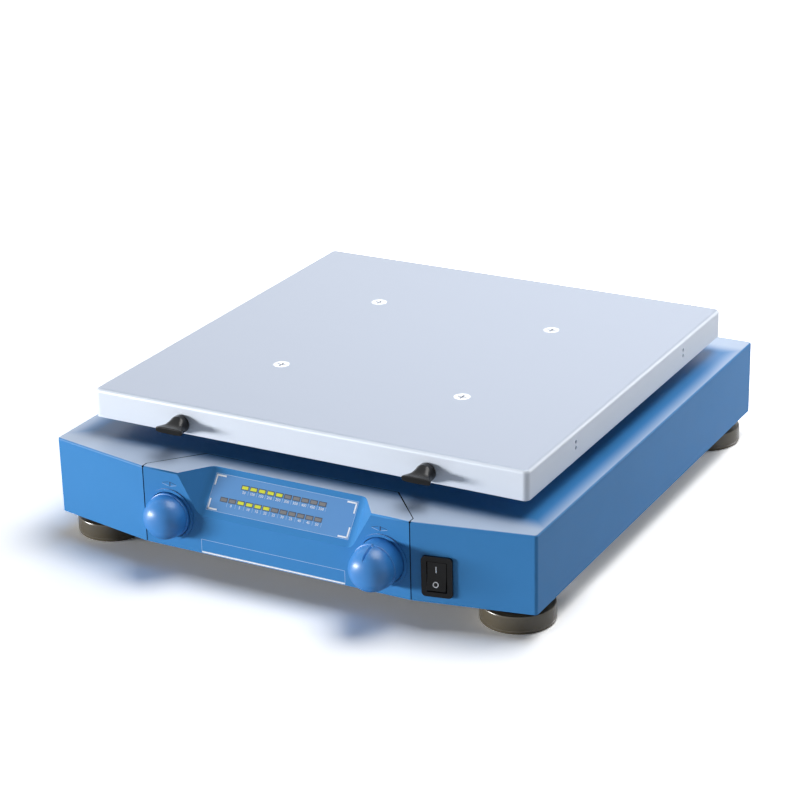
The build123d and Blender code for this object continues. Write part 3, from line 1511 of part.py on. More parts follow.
with BuildPart() as board_components:
    with BuildSketch(Plane.XY.offset(board_top)):
        with Locations(*[(control_board_x + x, control_board_y + y) for x, y in capacitor_offsets]):
            Circle(capacitor_diameter / 2)
    extrude(amount=capacitor_height)
    with BuildSketch(Plane.XY.offset(board_top)):
        with Locations((control_board_x + heat_sink_offset[0], control_board_y + heat_sink_offset[1])):
            Rectangle(heat_sink_width, heat_sink_depth)
            slot_pitch = heat_sink_width / (heat_sink_slot_count + 1)
            with GridLocations(slot_pitch, heat_sink_web + heat_sink_slot_depth, heat_sink_slot_count, 2):
                Rectangle(slot_pitch / 2, heat_sink_slot_depth, mode=Mode.SUBTRACT)
    extrude(amount=heat_sink_height)
    with BuildSketch(Plane.XY.offset(board_top)):
        with Locations(*[(control_board_x + x, control_board_y + y) for x, y in terminal_offsets]):
            Rectangle(terminal_width, terminal_depth)
    extrude(amount=terminal_height)
save("board_components", board_components)

# ================================================================ wiring
def lead(diameter, *points):
    """A round lead that runs from point to point with rounded bends."""
    with BuildLine() as path:
        FilletPolyline(*points, radius=lead_bend_radius)
    with BuildPart() as run:
        with BuildSketch(Plane(origin=path.line @ 0, z_dir=path.line % 0)):
            Circle(diameter / 2)
        sweep(path=path.line)
    return run.part


lead_z = base_top + lead_lift + mains_lead_diameter / 2
motor_side_x = motor_x + motor_diameter / 2
board_left = control_board_x - control_board_width / 2
board_front = control_board_y - control_board_length / 2
inlet_tab_y = back_y - cover_wall - inlet_body_depth - inlet_tab_length
with BuildPart() as wiring:
    add(
        lead(
            mains_lead_diameter,
            (inlet_x, inlet_tab_y - lead_lift, housing_mid),
            (inlet_x, inlet_tab_y - lead_straight_end, housing_mid),
            (side_x - 27, inlet_tab_y - 26, lead_z),
            (side_x - 27, corner_y + 60, lead_z),
            tuple(switch_plane.offset(-switch_body_depth - lead_lift - lead_straight_end).origin),
            tuple(switch_plane.offset(-switch_body_depth - lead_lift).origin),
        )
    )
    add(
        lead(
            motor_lead_diameter,
            (motor_side_x + lead_lift, motor_y, base_top + 10),
            (motor_side_x + 25, motor_y, base_top + 8),
            (board_left - 16, control_board_y + 26, base_top + 6),
            (board_left - 8, control_board_y + 26, board_top + 6),
            (board_left + 12, control_board_y + 26, board_top + 6),
        )
    )
    add(
        lead(
            mains_lead_diameter,
            (0, front_y + 22, housing_mid + 9),
            (0, front_y + 40, housing_mid + 2),
            (12, front_y + 66, lead_z + 3),
            (board_left + 12, board_front - 30, lead_z),
            (board_left + 12, board_front - 2, lead_z),
        )
    )
save("wiring", wiring)
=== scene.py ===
"""Dress the orbital platform shaker: its finishes, and the finer pieces that stand for what is seen of it.

Lengths are in metres in the model's own frame: -Y is the front with the controls and +Z is up.  Each
sub-assembly is a class that holds its sizes and makes its own pieces, and each finish is a frozen dataclass.
"""

import json
import logging
import math
from collections.abc import Callable, Iterable
from dataclasses import dataclass, fields
from enum import Enum

import bmesh
import bpy
from mathutils import Matrix, Vector

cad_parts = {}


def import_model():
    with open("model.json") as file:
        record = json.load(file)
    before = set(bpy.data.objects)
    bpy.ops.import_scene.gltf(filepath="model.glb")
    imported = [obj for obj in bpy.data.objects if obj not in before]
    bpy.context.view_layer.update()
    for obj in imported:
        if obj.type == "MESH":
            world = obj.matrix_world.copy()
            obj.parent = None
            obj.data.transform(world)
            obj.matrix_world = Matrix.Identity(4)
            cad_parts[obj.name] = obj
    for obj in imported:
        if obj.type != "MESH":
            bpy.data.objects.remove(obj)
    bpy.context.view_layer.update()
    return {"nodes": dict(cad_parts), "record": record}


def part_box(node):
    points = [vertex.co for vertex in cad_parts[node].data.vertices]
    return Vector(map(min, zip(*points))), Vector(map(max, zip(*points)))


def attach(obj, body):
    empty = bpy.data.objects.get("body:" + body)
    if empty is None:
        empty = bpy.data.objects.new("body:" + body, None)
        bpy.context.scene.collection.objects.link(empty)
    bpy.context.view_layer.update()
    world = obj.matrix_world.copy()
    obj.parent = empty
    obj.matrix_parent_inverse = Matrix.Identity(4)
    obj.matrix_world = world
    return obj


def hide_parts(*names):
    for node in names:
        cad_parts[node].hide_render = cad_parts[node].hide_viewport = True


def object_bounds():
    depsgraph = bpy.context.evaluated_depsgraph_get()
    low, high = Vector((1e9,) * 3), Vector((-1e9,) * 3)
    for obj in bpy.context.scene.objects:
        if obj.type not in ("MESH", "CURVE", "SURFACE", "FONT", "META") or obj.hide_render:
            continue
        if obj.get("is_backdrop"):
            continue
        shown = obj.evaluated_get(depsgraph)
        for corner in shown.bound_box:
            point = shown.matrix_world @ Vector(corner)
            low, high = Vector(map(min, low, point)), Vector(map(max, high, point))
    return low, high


LOG = logging.getLogger("orbital_shaker")
MM = 0.001
NEAR = 0.05 * MM  # what lies closer than this to a plane or line lies on it
COLLAR = 1.0 * MM  # how far the knob collars stand out of the control panel
UNDERPRINT, PRINT, OVERPRINT = 0.04 * MM, 0.05 * MM, 0.06 * MM  # ink heights, lower under higher
RELIEF_STRENGTH = 0.6  # of every finish's grain or brushed lines
COAT_ROUGHNESS = 0.25
CAP_HEIGHT = 0.72  # a figure's height as a share of its type size
UP, FRONTWARDS, RIGHT = Vector((0, 0, 1)), Vector((0, -1, 0)), Vector((1, 0, 0))
WHITE = (1.0, 1.0, 1.0, 1.0)
Colour = tuple[float, float, float]
Spot = tuple[float, float]
Socket = bpy.types.NodeSocket


def display_colour(red: int, green: int, blue: int) -> Colour:
    """Turn a colour as a screen shows it into the linear values that a shader takes.

    Args:
        red: Red from 0 to 255.
        green: Green from 0 to 255.
        blue: Blue from 0 to 255.

    Returns:
        The linear red, green and blue from 0 to 1.
    """

    def linear(value: int) -> float:
        """Undo the screen's curve for one channel."""
        share = value / 255
        return share / 12.92 if share <= 0.04045 else ((share + 0.055) / 1.055) ** 2.4

    return linear(red), linear(green), linear(blue)


# ---------------------------------------------------------------- shader groups


class Effect(Enum):
    """The surface effects that more than one finish uses, each a shader node group."""

    TONE = "tone_drift"
    GRAIN = "moulded_grain"
    BRUSHED = "brushed_lines"
    DUST = "settled_dust"


class NodeSheet:
    """A node tree with short calls that add its nodes and join them."""

    def __init__(self, tree: bpy.types.NodeTree) -> None:
        """Keep the tree that the calls work on."""
        self.tree = tree

    def feed(self, target: Socket, value: object) -> None:
        """Join an input to an output, or set the input's own value."""
        if isinstance(value, Socket):
            self.tree.links.new(value, target)
        else:
            target.default_value = value

    def fill(self, node: bpy.types.Node, **values: object) -> bpy.types.Node:
        """Give a node its settings and feed its inputs.

        Args:
            node: The node.
            **values: Settings by name, and what feeds each input, by name with underscores for spaces.

        Returns:
            The node.
        """
        for name, value in values.items():
            if hasattr(node, name):
                setattr(node, name, value)
            else:
                self.feed(node.inputs[name.replace("_", " ")], value)
        return node

    def add(self, kind: str, **values: object) -> bpy.types.Node:
        """Add a node of a kind, filled with the values."""
        return self.fill(self.tree.nodes.new(kind), **values)

    def group(self, effect: Effect, **values: object) -> bpy.types.Node:
        """Add an effect's shader group, filled with the values."""
        return self.add("ShaderNodeGroup", node_tree=effect_group(effect), **values)

    def math(
        self, operation: str, *values: object, kind: str = "ShaderNodeMath", **settings: object
    ) -> Socket:
        """Add a sum.

        Args:
            operation: The operation's name.
            *values: What feeds its inputs, in order.
            kind: The node's type name.
            **settings: Further settings of the node.

        Returns:
            The sum's output.
        """
        node = self.add(kind, operation=operation, **settings)
        for target, value in zip(node.inputs, values):
            self.feed(target, value)
        return node.outputs[0]

    def ramp(self, value: Socket, start: object, end: object, **values: object) -> Socket:
        """Turn the stretch from start to end into 0 to 1, or into To_Min to To_Max where given."""
        node = self.add("ShaderNodeMapRange", Value=value, From_Min=start, From_Max=end, **values)
        return node.outputs["Result"]

    def noise(self, place: Socket, scale: object, detail: float, roughness: float = 0.5) -> Socket:
        """Add a noise from 0 to 1."""
        node = self.add(
            "ShaderNodeTexNoise", Vector=place, Scale=scale, Detail=detail, Roughness=roughness
        )
        return node.outputs["Fac"]

    def mix(self, share: Socket, first: object, second: object) -> Socket:
        """Mix two colours by a share."""
        node = self.add("ShaderNodeMix", data_type="RGBA", Factor=share, A=first, B=second)
        return node.outputs["Result"]

    def give(self, **results: Socket) -> bpy.types.NodeTree:
        """Make a group's outputs, join the results to them by name, and give the group."""
        for name, result in results.items():
            kind = "NodeSocketColor" if result.type == "RGBA" else "NodeSocketFloat"
            self.tree.interface.new_socket(name, in_out="OUTPUT", socket_type=kind)
        self.add("NodeGroupOutput", **results)
        return self.tree


def new_group(effect: Effect, **inputs: object) -> tuple[NodeSheet, bpy.types.bpy_prop_collection]:
    """Make an empty shader group with its inputs.

    Args:
        effect: The effect that names the group.
        **inputs: Each input's default: a number, a colour, or None for a vector.

    Returns:
        The group's node sheet, and the sockets that give its inputs, by name.
    """
    kinds = {tuple: "NodeSocketColor", float: "NodeSocketFloat", type(None): "NodeSocketVector"}
    tree = bpy.data.node_groups.new(effect.value, "ShaderNodeTree")
    for name, default in inputs.items():
        socket = tree.interface.new_socket(name, in_out="INPUT", socket_type=kinds[type(default)])
        if default is not None:
            socket.default_value = (*default, 1.0) if isinstance(default, tuple) else default
    sheet = NodeSheet(tree)
    return sheet, sheet.add("NodeGroupInput").outputs


def varied_roughness(
    sheet: NodeSheet, given: bpy.types.bpy_prop_collection, noise: Socket
) -> Socket:
    """Let the roughness that a group is given vary by its spread with a noise."""
    centred = sheet.math("SUBTRACT", noise, 0.5)
    return sheet.math("MULTIPLY_ADD", centred, given["Spread"], given["Roughness"], use_clamp=True)


def make_tone_group() -> bpy.types.NodeTree:
    """Make the group that lets a colour drift slightly over a surface."""
    sheet, given = new_group(Effect.TONE, Place=None, Colour=(0.5, 0.5, 0.5), Size=20.0, Amount=0.05)
    low, high = (sheet.math(way, 1.0, given["Amount"]) for way in ("SUBTRACT", "ADD"))
    noise = sheet.noise(given["Place"], given["Size"], 4.0, 0.55)
    value = sheet.ramp(noise, 0.3, 0.7, To_Min=low, To_Max=high)
    tint = sheet.add("ShaderNodeHueSaturation", Value=value, Color=given["Colour"])
    return sheet.give(Colour=tint.outputs["Color"])


def make_grain_group() -> bpy.types.NodeTree:
    """Make the group that gives a moulded or sprayed surface its fine grain."""
    sheet, given = new_group(Effect.GRAIN, Place=None, Size=900.0, Roughness=0.4, Spread=0.06)
    pores = sheet.add("ShaderNodeTexVoronoi", Vector=given["Place"], Scale=given["Size"])
    noise = sheet.noise(given["Place"], given["Size"], 3.0)
    drift = sheet.noise(given["Place"], 35.0, 3.0)
    height = sheet.math("MULTIPLY_ADD", pores.outputs["Distance"], 0.5, noise)
    return sheet.give(Roughness=varied_roughness(sheet, given, drift), Height=height)


def make_brushed_group() -> bpy.types.NodeTree:
    """Make the group that draws fine parallel lines, as rolling or turning leaves on metal."""
    sheet, given = new_group(Effect.BRUSHED, Place=None, Stretch=None, Roughness=0.35, Spread=0.1)
    scaled = sheet.math("MULTIPLY", given["Place"], given["Stretch"], kind="ShaderNodeVectorMath")
    noise = sheet.noise(scaled, 1.0, 6.0, 0.65)
    return sheet.give(Roughness=varied_roughness(sheet, given, noise), Height=noise)


def make_dust_group() -> bpy.types.NodeTree:
    """Make the group that lays a thin film of dust on what faces upwards and in patches."""
    sheet, given = new_group(
        Effect.DUST, Place=None, Facing=None, Colour=(0.5, 0.5, 0.5), Dust=(0.62, 0.60, 0.56), Amount=0.1
    )
    facing = sheet.add("ShaderNodeSeparateXYZ", Vector=given["Facing"])
    upward = sheet.ramp(facing.outputs["Z"], -0.2, 1.0, To_Min=0.15)
    patches = sheet.ramp(sheet.noise(given["Place"], 60.0, 5.0), 0.4, 0.75)
    cover = sheet.math("MULTIPLY", upward, patches)
    share = sheet.math("MULTIPLY", cover, given["Amount"], use_clamp=True)
    return sheet.give(Colour=sheet.mix(share, given["Colour"], given["Dust"]))


GROUP_MAKERS: dict[Effect, Callable[[], bpy.types.NodeTree]] = {
    Effect.TONE: make_tone_group,
    Effect.GRAIN: make_grain_group,
    Effect.BRUSHED: make_brushed_group,
    Effect.DUST: make_dust_group,
}


def effect_group(effect: Effect) -> bpy.types.NodeTree:
    """Give an effect's shader group, and make it the first time it is asked for."""
    return bpy.data.node_groups.get(effect.value) or GROUP_MAKERS[effect]()


# ---------------------------------------------------------------- finishes


@dataclass(frozen=True)
class Finish:
    """A surface finish: a colour that drifts, a fine grain or brushed lines, a little dust, and gloss.

    Attributes:
        name: The material's name.
        slot: The record's material slot that the finish belongs to.
        colour: Linear base colour.
        roughness: Mean roughness.
        metallic: 1 on bare metal.
        drift: How far the tone drifts, as a share.
        grain_size: Grains per metre.
        grain_depth: Height of the grain in metres.
        spread: How far the roughness varies.
        lines: Lines per metre along X, Y and Z where the metal is brushed.
        dust: Share of dust in the patches that face upwards.
        coat: Weight of a clear coat.
        specular: Strength of the reflection, 0.5 on plain plastic or paint.
    """

    name: str
    slot: str
    colour: Colour
    roughness: float
    metallic: float = 0.0
    drift: float = 0.03
    grain_size: float = 1200.0
    grain_depth: float = 0.00002
    spread: float = 0.08
    lines: tuple[float, float, float] | None = None
    dust: float = 0.0
    coat: float = 0.0
    specular: float = 0.5

    def build(self) -> bpy.types.Material:
        """Make the material, or give it if it is made."""
        found = bpy.data.materials.get(self.name)
        if found:
            return found
        material = bpy.data.materials.new(self.name)
        material.use_nodes = True
        self.dress(NodeSheet(material.node_tree), material.node_tree.nodes["Principled BSDF"])
        return material

    def dress(self, sheet: NodeSheet, shader: bpy.types.Node) -> None:
        """Join the finish's effects to the shader.

        Args:
            sheet: The material's nodes.
            shader: Its Principled BSDF.
        """
        place = sheet.add("ShaderNodeTexCoord").outputs["Object"]
        surface = {"Place": place, "Roughness": self.roughness, "Spread": self.spread}
        if self.lines:
            relief = sheet.group(Effect.BRUSHED, Stretch=self.lines, **surface)
        else:
            relief = sheet.group(Effect.GRAIN, Size=self.grain_size, **surface)
        bump = sheet.add(
            "ShaderNodeBump", Strength=RELIEF_STRENGTH, Distance=self.grain_depth,
            Height=relief.outputs["Height"],
        )
        sheet.fill(
            shader,
            Base_Color=self.colour_output(sheet, place),
            Metallic=self.metallic,
            Roughness=relief.outputs["Roughness"],
            Normal=bump.outputs["Normal"],
            Specular_IOR_Level=self.specular,
            Coat_Weight=self.coat,
            Coat_Roughness=COAT_ROUGHNESS,
        )

    def colour_output(self, sheet: NodeSheet, place: Socket) -> Socket:
        """Build the base colour.

        Args:
            sheet: The material's nodes.
            place: Object coordinates.

        Returns:
            The socket that gives the colour.
        """
        tone = sheet.group(Effect.TONE, Place=place, Colour=(*self.colour, 1.0), Amount=self.drift)
        if not self.dust:
            return tone.outputs["Colour"]
        facing = sheet.add("ShaderNodeNewGeometry").outputs["Normal"]
        layer = sheet.group(
            Effect.DUST, Place=place, Facing=facing, Colour=tone.outputs["Colour"], Amount=self.dust
        )
        return layer.outputs["Colour"]


@dataclass(frozen=True)
class PaintedTopLightFinish(Finish):
    """A colour with painted light and shade: what faces upwards takes another colour for how the light falls
    on the tops, except where the tray covers it, which is a painted shadow.

    Attributes:
        painted_top_colour: Linear colour painted on upward faces for how the light falls on them.
        painted_top_share: Share of that colour outside the tray's painted shadow.
        shaded_box: The tray's footprint as its centre and its half sizes, in metres, where the tops keep the
            base colour as a painted shadow.
        penumbra: Width over which the painted top colour sets in at the edge of the tray's painted shadow.
        lean: Upright share of the normal where the painted top colour sets in and where it is full; rounded
            edges get part of it.
    """

    painted_top_colour: Colour = (0.5, 0.5, 0.5)
    painted_top_share: float = 0.5
    shaded_box: tuple[float, float, float, float] = (2.5 * MM, 17.7 * MM, 176.0 * MM, 168.0 * MM)
    penumbra: float = 7.0 * MM
    lean: tuple[float, float] = (0.75, 0.97)

    def colour_output(self, sheet: NodeSheet, place: Socket) -> Socket:
        """Build the base colour and lay the painted light and shade of the tops over it.

        Args:
            sheet: The material's nodes.
            place: Object coordinates.

        Returns:
            The socket that gives the colour.
        """
        # Painted light: upward faces take the painted top colour, left out inside the tray's footprint as a
        # painted shadow.
        facing = sheet.add("ShaderNodeNewGeometry").outputs["Normal"]
        upward = sheet.ramp(sheet.add("ShaderNodeSeparateXYZ", Vector=facing).outputs["Z"], *self.lean)
        spot = sheet.add("ShaderNodeSeparateXYZ", Vector=place).outputs
        beyond = []
        for axis, centre, half in zip("XY", self.shaded_box[:2], self.shaded_box[2:]):
            across = sheet.math("ABSOLUTE", sheet.math("SUBTRACT", spot[axis], centre))
            beyond.append(sheet.math("SUBTRACT", across, half))
        reached = sheet.ramp(
            sheet.math("MAXIMUM", *beyond), -self.penumbra / 2, self.penumbra,
            interpolation_type="SMOOTHSTEP", To_Max=self.painted_top_share,
        )
        share = sheet.math("MULTIPLY", reached, upward, use_clamp=True)
        return sheet.mix(share, super().colour_output(sheet, place), (*self.painted_top_colour, 1.0))


@dataclass(frozen=True)
class LampFinish(Finish):
    """A light segment that glows by itself.

    Attributes:
        glow: Strength of the glow.
    """

    glow: float = 1.0

    def dress(self, sheet: NodeSheet, shader: bpy.types.Node) -> None:
        """Join the effects, and let the same colour glow."""
        super().dress(sheet, shader)
        colour = shader.inputs["Base Color"].links[0].from_socket
        sheet.fill(shader, Emission_Color=colour, Emission_Strength=self.glow)


@dataclass(frozen=True)
class Finishes:
    """All finishes of the shaker."""

    # Painted light: the pale tops stand for the light on the tops, and the blue left under the tray is a
    # painted shadow.
    housing: PaintedTopLightFinish = PaintedTopLightFinish(
        "powder_coat_blue", "housing_blue", display_colour(67, 138, 202), 0.32,
        drift=0.02, grain_size=1600.0, grain_depth=0.00001, specular=0.12,
        painted_top_colour=display_colour(216, 230, 250), painted_top_share=0.8, penumbra=12.0 * MM,
    )
    # Painted shade and light: the tray's tops are painted darker than its skirt and rounded rim, for how the
    # light falls on them.
    tray: PaintedTopLightFinish = PaintedTopLightFinish(
        "anodised_tray", "tray_aluminium", display_colour(226, 234, 246), 0.45, metallic=0.2,
        drift=0.01, lines=(6.0, 900.0, 900.0), grain_depth=0.000008, spread=0.08, specular=0.4,
        painted_top_colour=display_colour(189, 199, 217), painted_top_share=1.0, shaded_box=(0.0, 0.0, -1.0, -1.0),
    )
    knob: Finish = Finish(
        "knob_moulding", "knob_blue", display_colour(56, 136, 212), 0.4, drift=0.015, grain_depth=0.000004,
        coat=0.35,
    )
    black_plastic: Finish = Finish(
        "black_moulding", "black_plastic", display_colour(9, 10, 13), 0.26, grain_depth=0.00001, dust=0.01,
        specular=0.35,
    )
    black_gloss: Finish = Finish(
        "black_rocker", "black_gloss", display_colour(10, 11, 14), 0.16, specular=0.4
    )
    rubber: Finish = Finish(
        "pad_rubber", "foot_rubber", display_colour(92, 84, 68), 0.26, drift=0.18,
        grain_depth=0.00003, dust=0.06, coat=0.5,
    )
    film: Finish = Finish(
        "printed_film", "window_film", display_colour(94, 150, 210), 0.22, drift=0.02, grain_depth=0.000003
    )
    ink_white: Finish = Finish("white_ink", "window_film", display_colour(238, 243, 250), 0.5)
    # Pale ink for print, also the painted highlight on the turn marks.
    pale_ink_and_highlight: Finish = Finish("pale_ink_and_painted_highlight", "window_film", display_colour(168, 200, 236), 0.5)
    # Dark ink for the turn marks' dash, also the painted shade on their arms.
    ink_dark: Finish = Finish("dark_ink_and_painted_shade", "housing_blue", display_colour(24, 46, 84), 0.5)
    # Painted shade: a dark fill standing for the shade in the gap round the panel.
    seam: Finish = Finish("seam_shade_fill", "black_plastic", display_colour(8, 14, 24), 0.9, specular=0.1)
    ink_grey: Finish = Finish("grey_ink", "window_film", display_colour(62, 74, 92), 0.5)
    lamp_lit: LampFinish = LampFinish("lamp_on", "lamp_lit", display_colour(206, 212, 60), 0.3, glow=0.12)
    lamp_unlit: Finish = Finish("lamp_off", "lamp_unlit", display_colour(122, 122, 124), 0.35, drift=0.1)
    zinc: Finish = Finish(
        "zinc_sheet", "zinc_steel", display_colour(176, 178, 180), 0.35, metallic=1.0, drift=0.06
    )
    screw: Finish = Finish(
        "plated_screw", "screw_steel", display_colour(205, 208, 214), 0.28, metallic=1.0, drift=0.04
    )
    machined: Finish = Finish(
        "turned_steel", "machined_steel", display_colour(170, 172, 176), 0.25, metallic=1.0,
        lines=(40.0, 40.0, 1500.0),
    )
    bearing: Finish = Finish(
        "ground_bearing", "bearing_steel", display_colour(196, 198, 203), 0.18, metallic=1.0
    )
    casting: Finish = Finish(
        "aluminium_casting", "cast_aluminium", display_colour(168, 170, 172), 0.55, metallic=1.0,
        drift=0.08, grain_size=700.0, grain_depth=0.0001,
    )
    iron: Finish = Finish(
        "oiled_iron", "cast_iron", display_colour(72, 72, 74), 0.5, metallic=1.0, grain_depth=0.00008
    )
    belt: Finish = Finish("belt_moulding", "belt_rubber", display_colour(28, 28, 28), 0.6)
    motor: Finish = Finish("motor_can", "motor_grey", display_colour(82, 84, 88), 0.45, drift=0.05)
    copper: Finish = Finish(
        "enamelled_copper", "winding_copper", display_colour(168, 92, 48), 0.3, metallic=1.0,
        lines=(60.0, 60.0, 2200.0), grain_depth=0.0002,
    )
    tape: Finish = Finish(
        "winding_tape", "transformer_tape", display_colour(214, 178, 62), 0.3, drift=0.05,
        lines=(90.0, 90.0, 15.0), grain_depth=0.0002,
    )
    board: Finish = Finish("solder_mask", "board_green", display_colour(26, 98, 58), 0.3, drift=0.1)
    component: Finish = Finish("component_body", "dark_component", display_colour(44, 44, 48), 0.45)
    brass: Finish = Finish("plain_brass", "pin_brass", display_colour(206, 178, 108), 0.25, metallic=1.0)
    lead: Finish = Finish("lead_jacket", "lead_grey", display_colour(92, 92, 96), 0.5)


FINISH = Finishes()

# The finish of each model node that is shown as it is, by the record's material slot
SLOT_FINISHES: dict[str, Finish] = {
    finish.slot: finish
    for finish in reversed([getattr(FINISH, entry.name) for entry in fields(FINISH)])
}


# ---------------------------------------------------------------- making pieces


def finished_piece(
    name: str,
    form: bmesh.types.BMesh,
    finish: Finish,
    body: str,
    replaced: Iterable[str] = (),
    smooth_below: float = 32.0,
) -> bpy.types.Object:
    """Turn a form into a shown piece that rides on a body.

    Args:
        name: The piece's name.
        form: Its shape in place; it is freed.
        finish: Its finish.
        body: The body that it rides on.
        replaced: Model nodes that it stands for.
        smooth_below: Edges that turn by less than this, in degrees, are shaded smooth.

    Returns:
        The new object.
    """
    mesh = bpy.data.meshes.new(name)
    form.to_mesh(mesh)
    form.free()
    mesh.materials.append(finish.build())
    piece = bpy.data.objects.new(name, mesh)
    bpy.context.scene.collection.objects.link(piece)
    smooth(piece, smooth_below)
    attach(piece, body)
    if replaced:
        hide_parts(*replaced)
    LOG.info("%s: %d faces on %s", name, len(piece.data.polygons), body)
    return piece


def bake_modifiers(piece: bpy.types.Object) -> None:
    """Put what a piece's modifiers make into its own mesh.

    Args:
        piece: The piece, whose modifiers are taken off.
    """
    seen = piece.evaluated_get(bpy.context.evaluated_depsgraph_get())
    made = bpy.data.meshes.new_from_object(seen)
    piece.modifiers.clear()
    old, piece.data = piece.data, made
    bpy.data.meshes.remove(old)
    made.name = piece.name


def smooth(piece: bpy.types.Object, below: float = 32.0) -> None:
    """Shade a piece smoothly, with its flat faces flat right up to their rounded edges.

    Args:
        piece: The piece.
        below: Edges that turn by less than this, in degrees, are shaded smooth.
    """
    piece.data.shade_smooth()
    piece.data.set_sharp_from_angle(angle=math.radians(below))
    even = piece.modifiers.new("even", "WEIGHTED_NORMAL")
    even.keep_sharp, even.weight, even.mode = True, 50, "FACE_AREA"
    bake_modifiers(piece)


def merged_copy(node: bpy.types.Object) -> bmesh.types.BMesh:
    """Copy a model node's triangles into one closed form with flat faces joined.

    Args:
        node: The model node.

    Returns:
        The copy, in place.
    """
    form = bmesh.new()
    form.from_mesh(node.data)
    bmesh.ops.remove_doubles(form, verts=form.verts, dist=0.002 * MM)
    bmesh.ops.dissolve_limit(
        form, angle_limit=math.radians(0.5), verts=form.verts, edges=form.edges, use_dissolve_boundaries=False
    )
    return form


def rounded_copy(
    node: bpy.types.Object, radius: float, keep: Callable[[bmesh.types.BMEdge], bool], steps: int = 2
) -> bmesh.types.BMesh:
    """Copy a model node and round its sharp edges.

    Args:
        node: The model node.
        radius: The rounding's width in metres.
        keep: Says of a sharp edge whether it is rounded.
        steps: Faces across the rounding.

    Returns:
        The rounded copy, in place.
    """
    form = merged_copy(node)
    sharp = [
        edge
        for edge in form.edges
        if len(edge.link_faces) == 2 and edge.calc_face_angle(0.0) > math.radians(20) and keep(edge)
    ]
    bevel_edges(form, sharp, radius, steps)
    return form


def bevel_edges(
    form: bmesh.types.BMesh, edges: list[bmesh.types.BMEdge], radius: float, steps: int = 2
) -> None:
    """Round edges of a form.

    Args:
        form: The form.
        edges: Its edges that are rounded.
        radius: The rounding's width in metres.
        steps: Faces across the rounding.
    """
    bmesh.ops.bevel(
        form, geom=edges, offset=radius, offset_type="OFFSET", affect="EDGES", segments=steps,
        profile=0.5, material=-1, clamp_overlap=True,
    )


def rounded_piece(
    node: bpy.types.Object, name: str, finish: Finish, radius: float, longer_than: float = -1.0,
    body: str = "base", steps: int = 2,
) -> None:
    """Show a model node as a piece with rounded edges.

    Args:
        node: The model node, which the piece stands for.
        name: The piece's name.
        finish: Its finish.
        radius: The rounding's width in metres.
        longer_than: Only edges longer than this are rounded.
        body: The body that it rides on.
        steps: Faces across the rounding.
    """
    form = rounded_copy(node, radius, lambda edge: edge.calc_length() > longer_than, steps)
    finished_piece(name, form, finish, body, [node.name])


def spun_form(profile: list[Spot], foot: Vector, axis: Vector, steps: int) -> bmesh.types.BMesh:
    """Spin an outline about an axis.

    Args:
        profile: Points of the outline as (radius, distance along the axis), in metres.
        foot: The point on the axis at distance 0.
        axis: The axis, of length 1.
        steps: Steps of the full turn.

    Returns:
        The closed form.
    """
    out = axis.orthogonal().normalized()
    form = bmesh.new()
    points = [form.verts.new(foot + axis * along + out * radius) for radius, along in profile]
    edges = [form.edges.new(pair) for pair in zip(points, points[1:])]
    bmesh.ops.spin(
        form, geom=points + edges, cent=foot, axis=axis, angle=math.tau, steps=steps, use_merge=True
    )
    bmesh.ops.remove_doubles(form, verts=form.verts, dist=0.002 * MM)
    bmesh.ops.recalc_face_normals(form, faces=form.faces)
    return form


def add_slab(
    form: bmesh.types.BMesh, plane: Matrix, centre: Spot, size: Spot, high: float = PRINT,
    low: float = 0.0, turn: float = 0.0,
) -> None:
    """Add a thin flat slab that lies on a plane.

    Args:
        form: The form that gets the slab.
        plane: The plane's axes and origin; its third axis points outwards.
        centre: The slab's centre on the plane.
        size: Its length along the plane's first and second axis.
        high: How far its face is out of the plane.
        low: How far its underside is out of the plane.
        turn: Its turn on the plane, in degrees.
    """
    place = (
        plane
        @ Matrix.Translation((*centre, (low + high) / 2))
        @ Matrix.Rotation(math.radians(turn), 4, "Z")
        @ Matrix.Diagonal((*size, high - low, 1.0))
    )
    bmesh.ops.create_cube(form, size=1.0, matrix=place)


def add_frame(
    form: bmesh.types.BMesh, plane: Matrix, low: Spot, high: Spot, width: float, lift: float,
    sides: str = "bottom top left right",
) -> None:
    """Add sides of a thin rectangle that lies on a plane.

    Args:
        form: The form that gets them.
        plane: The plane.
        low: The rectangle's lower left corner.
        high: Its upper right corner.
        width: The sides' width.
        lift: How far their faces are out of the plane.
        sides: Which sides, in order.
    """
    middle = ((low[0] + high[0]) / 2, (low[1] + high[1]) / 2)
    across, up = (high[0] - low[0], width), (width, high[1] - low[1])
    bars = {
        "bottom": ((middle[0], low[1]), across),
        "top": ((middle[0], high[1]), across),
        "left": ((low[0], middle[1]), up),
        "right": ((high[0], middle[1]), up),
    }
    for side in sides.split():
        add_slab(form, plane, *bars[side], lift)


def add_ring(form: bmesh.types.BMesh, plane: Matrix, outer: float, inner: float, lift: float) -> None:
    """Add a flat ring that lies on a plane.

    Args:
        form: The form that gets it.
        plane: The plane.
        outer: Its outer radius.
        inner: Its inner radius.
        lift: How far it is out of the plane.
    """
    raised = plane @ Matrix.Translation((0, 0, lift))
    edges: set[bmesh.types.BMEdge] = set()
    for radius in (outer, inner):
        circle = bmesh.ops.create_circle(form, segments=40, radius=radius, matrix=raised)["verts"]
        edges |= {edge for point in circle for edge in point.link_edges}
    bmesh.ops.bridge_loops(form, edges=list(edges))


def closed_loft(form: bmesh.types.BMesh, rings: list[list[bmesh.types.BMEdge]]) -> None:
    """Join rings of edges one after the other and close both ends.

    Args:
        form: The form that holds them.
        rings: The rings, all with as many edges.
    """
    for first, second in zip(rings, rings[1:]):
        bmesh.ops.bridge_loops(form, edges=first + second)
    bmesh.ops.holes_fill(form, edges=rings[0] + rings[-1], sides=len(rings[0]))
    bmesh.ops.recalc_face_normals(form, faces=form.faces)


